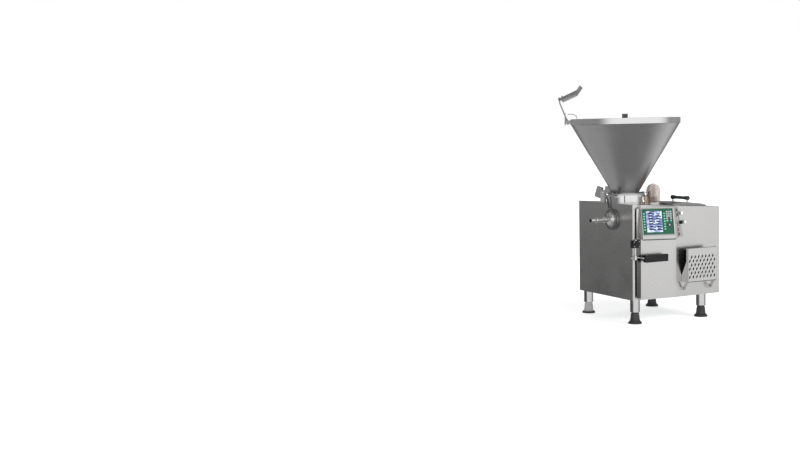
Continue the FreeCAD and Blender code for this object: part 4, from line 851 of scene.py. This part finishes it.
def dress_housing():
    """The vent behind the hood, the joint between roof and cover, and the cover's screws."""
    # The vent's slats and bars are dark metal, darkened as painted shade of the housing's inside seen through
    # the hood's slots.
    spots = [at_point(Vector((576 + 16 * k, 26, 390)), UP, Vector((1, 0.55, 0))) for k in range(17)]
    slats = spread_copies(block(6, 2.4, 270, 0.5), spots)
    settle(slats, "vent_slats", STAY, dark_metal, "machine")
    spots = [at_point(Vector((HOOD_X, 32, z)), UP, RIGHT) for z in (430, 524, 618)]
    bars = spread_copies(block(284, 5, 4, 0.8), spots)
    settle(bars, "vent_bars", STAY, dark_metal, "machine")
    edge = [(x, y, roof(x) + 0.8) for x, y in ((94, 5), (COVER_FOLD, -16), (1002, 5))]
    for name, points in (("left", edge[:2]), ("right", edge[1:])):
        settle(wire(points, 1.5), "roof_joint_" + name, STAY, rubber, "machine", ROUND)
    screw = turned([(0, 1.5), (2.6, 1.5), (4.2, 0.9), (4.8, 0), (0, 0)], 24)
    spots = [at_point(Vector((x, cover_front(x), z)), Vector((0.05, -1, 0)))
             for x, z in ((985, 250), (985, 650), (985, 1015), (500, 245), (110, 250), (110, 690))]
    settle(spread_copies(screw, spots), "cover_screws", STAY, bright, "machine")


def line_hood():
    """A dark sheet behind the hood's slots, painted shade of the housing's inside, and the hood's edge lines.
    """
    # A dark sheet behind the slots: painted shade of the housing's inside.
    shade_sheet = block(322, 1.6, 286, 0.4)
    spot = at_point(Vector((HOOD_X, -93, 390)), UP, RIGHT)
    settle(shade_sheet, "hood_shade_sheet", spot, rubber, "vent_hood")
    # The edge lines are dark strips: painted shade along the hood's edges.
    for name, x, z, width, height in (("top", HOOD_X, 680.5, 334, 4), ("bottom", HOOD_X, 366, 334, 6),
                                      ("left", 543.5, 372, 3, 306)):
        strip = block(width, 1.2, height, 0.3)
        spot = at_point(Vector((x, -110.5, z)), UP, RIGHT)
        settle(strip, "hood_edge_" + name, spot, shaded_steel, "vent_hood")


def dress_corner():
    """The strip that covers the gap between the corner post and the front cover, darker below the console,
    where its shade is painted.
    """
    for name, low, high, material in (("low", 244, 790, shaded_steel), ("high", 791, 1072, blasted)):
        strip = block(46, high - low, 1.4, 0.5)
        spot = at_point(Vector((65, -0.2, (low + high) / 2)), FRONT, RIGHT)
        settle(strip, "corner_strip_" + name, spot, material, "machine")


# Roof, feet and lever

GRIP_X = 770
DOME_X, DOME_Y, DOME_BASE_LEFT = 440, 270, 78
DOME_SEAT = 16  # above the roof at the base's left side
FEET = (("front_left", 74, 71), ("front_right", 843, 71), ("rear_left", 74, 819), ("rear_right", 843, 819))
KNEE = Vector((11, -24, 0))
HINGE_ANGLE = 120


def dress_lid():
    """The sleeves and end caps of the lid's grip."""
    for y, name in ((178, "front"), (392, "rear")):
        foot = turned([(7.2, 0), (14.5, 0), (14.5, 4), (12, 7), (9, 9.5), (8.2, 13), (8.2, 26), (7.2, 26),
                       (7.2, 0)], 40)
        spot = at_point(Vector((GRIP_X, y, roof(GRIP_X) + 24)))
        settle(foot, "grip_foot_" + name, spot, bright, "top_lid")
    for y, name, way in ((158.2, "front", FRONT), (411.8, "rear", BACK)):
        cap = turned([(0, 1.6), (9, 1.3), (13.2, 0), (0, 0)], 40)
        spot = at_point(Vector((GRIP_X, y, roof(GRIP_X) + 69)), way)
        settle(cap, "grip_cap_" + name, spot, grip_green, "top_lid")


def dress_dome():
    """The dome's nipple, seal and dogs, and the cap over its float."""
    seat = Vector((DOME_X, DOME_Y, roof(DOME_X - DOME_BASE_LEFT) + DOME_SEAT))
    nipple = turned([(0, 14), (3.2, 13.6), (4.6, 12), (4.8, 6), (6.4, 4), (9, 1.6), (12.5, 0), (0, 0)], 40)
    settle(nipple, "dome_nipple", at_point(seat + UP * 177.2), amber, "vacuum_dome", ROUND)
    ring(70.5, 3.6, 90, "dome_seal", at_point(seat + UP * 1.2), rubber, "vacuum_dome")
    spots = []
    for k in range(3):
        a = math.radians(80 + 120 * k)
        away = Vector((math.cos(a), math.sin(a), 0))
        spots.append(at_point(seat - UP * 4 + away * 74, UP, away))
    dogs = spread_copies(block(14, 16, 9, 1.4), spots)
    settle(dogs, "dome_dogs", STAY, shaded_steel, "machine")
    tube = turned([(12, 0), (14, 0), (14, 70), (13, 84), (8, 96), (5, 100), (5, 104), (0, 104)], 40)
    settle(tube, "float_cap", at_point(seat + Vector((-22, 32, 0.4))), black, "machine")


def dress_feet():
    """A lock nut and a base ring on each foot, and a rim round each leg's end."""
    for name, x, y in FEET:
        lock = turned([(13, 0), (31, 0), (33, 1.6), (33, 3.4), (31, 5), (13, 5), (13, 0)], 48)
        settle(lock, "foot_lock_" + name, at_point(Vector((x, y, 103))), bright, "foot_" + name)
        ring(60.5, 2.4, 80, "foot_lip_" + name, at_point(Vector((x, y, 9.5))), foot_black, "foot_" + name)
        ring(43.8, 1.0, 80, "leg_rim_" + name, at_point(Vector((x, y, 109.5))), bright, "machine")


def dress_knee():
    """The knee lever's end cap and hub ring, and the bolts of its bearing."""
    cap = turned([(0, 2.6), (5, 2.4), (8.5, 1.2), (9.5, 0), (0, 0)], 36)
    settle(cap, "knee_cap", at_point(KNEE + UP * 791), bright, "knee_lever")
    spots = [at_point(Vector((x, -45, z)), FRONT) for x in (-17, 39) for z in (728, 772)]
    settle(spread_copies(hex_bolt(4.5, 4), spots), "bearing_bolts", STAY, bright, "machine")
    ring(16.2, 1.4, 48, "hub_ring", at_point(KNEE + UP * 640), bright, "knee_lever")


def dress_hinge():
    """A nut on each end of the hopper's hinge pin."""
    along = round_hopper(HINGE_ANGLE + 90, 1, 0) - HOPPER
    middle = round_hopper(HINGE_ANGLE, 225, 1200)
    for way, name in ((-along, "left"), (along, "right")):
        settle(hex_bolt(9, 6), "hinge_nut_" + name, at_point(middle + way * 30.3, way), bright, "machine")


set_camera()
studio_world()
lay_floor()
add_light("key", place(3200, -5200, 4200), place(400, 300, 1000), 3.2, 260)
add_light("fill", place(-4200, -4200, 3200), place(300, 300, 900), 4.0, 60)
add_light("rear", place(1500, 5200, 4600), place(400, 300, 1200), 3.0, 60)
finish_nodes()
dress_panel()
seal_console()
fill_display()
dress_controls()
dress_hopper()
fold_mirror()
dress_collar()
dress_outlet()
dress_housing()
line_hood()
dress_corner()
dress_lid()
dress_dome()
dress_feet()
dress_knee()
dress_hinge()
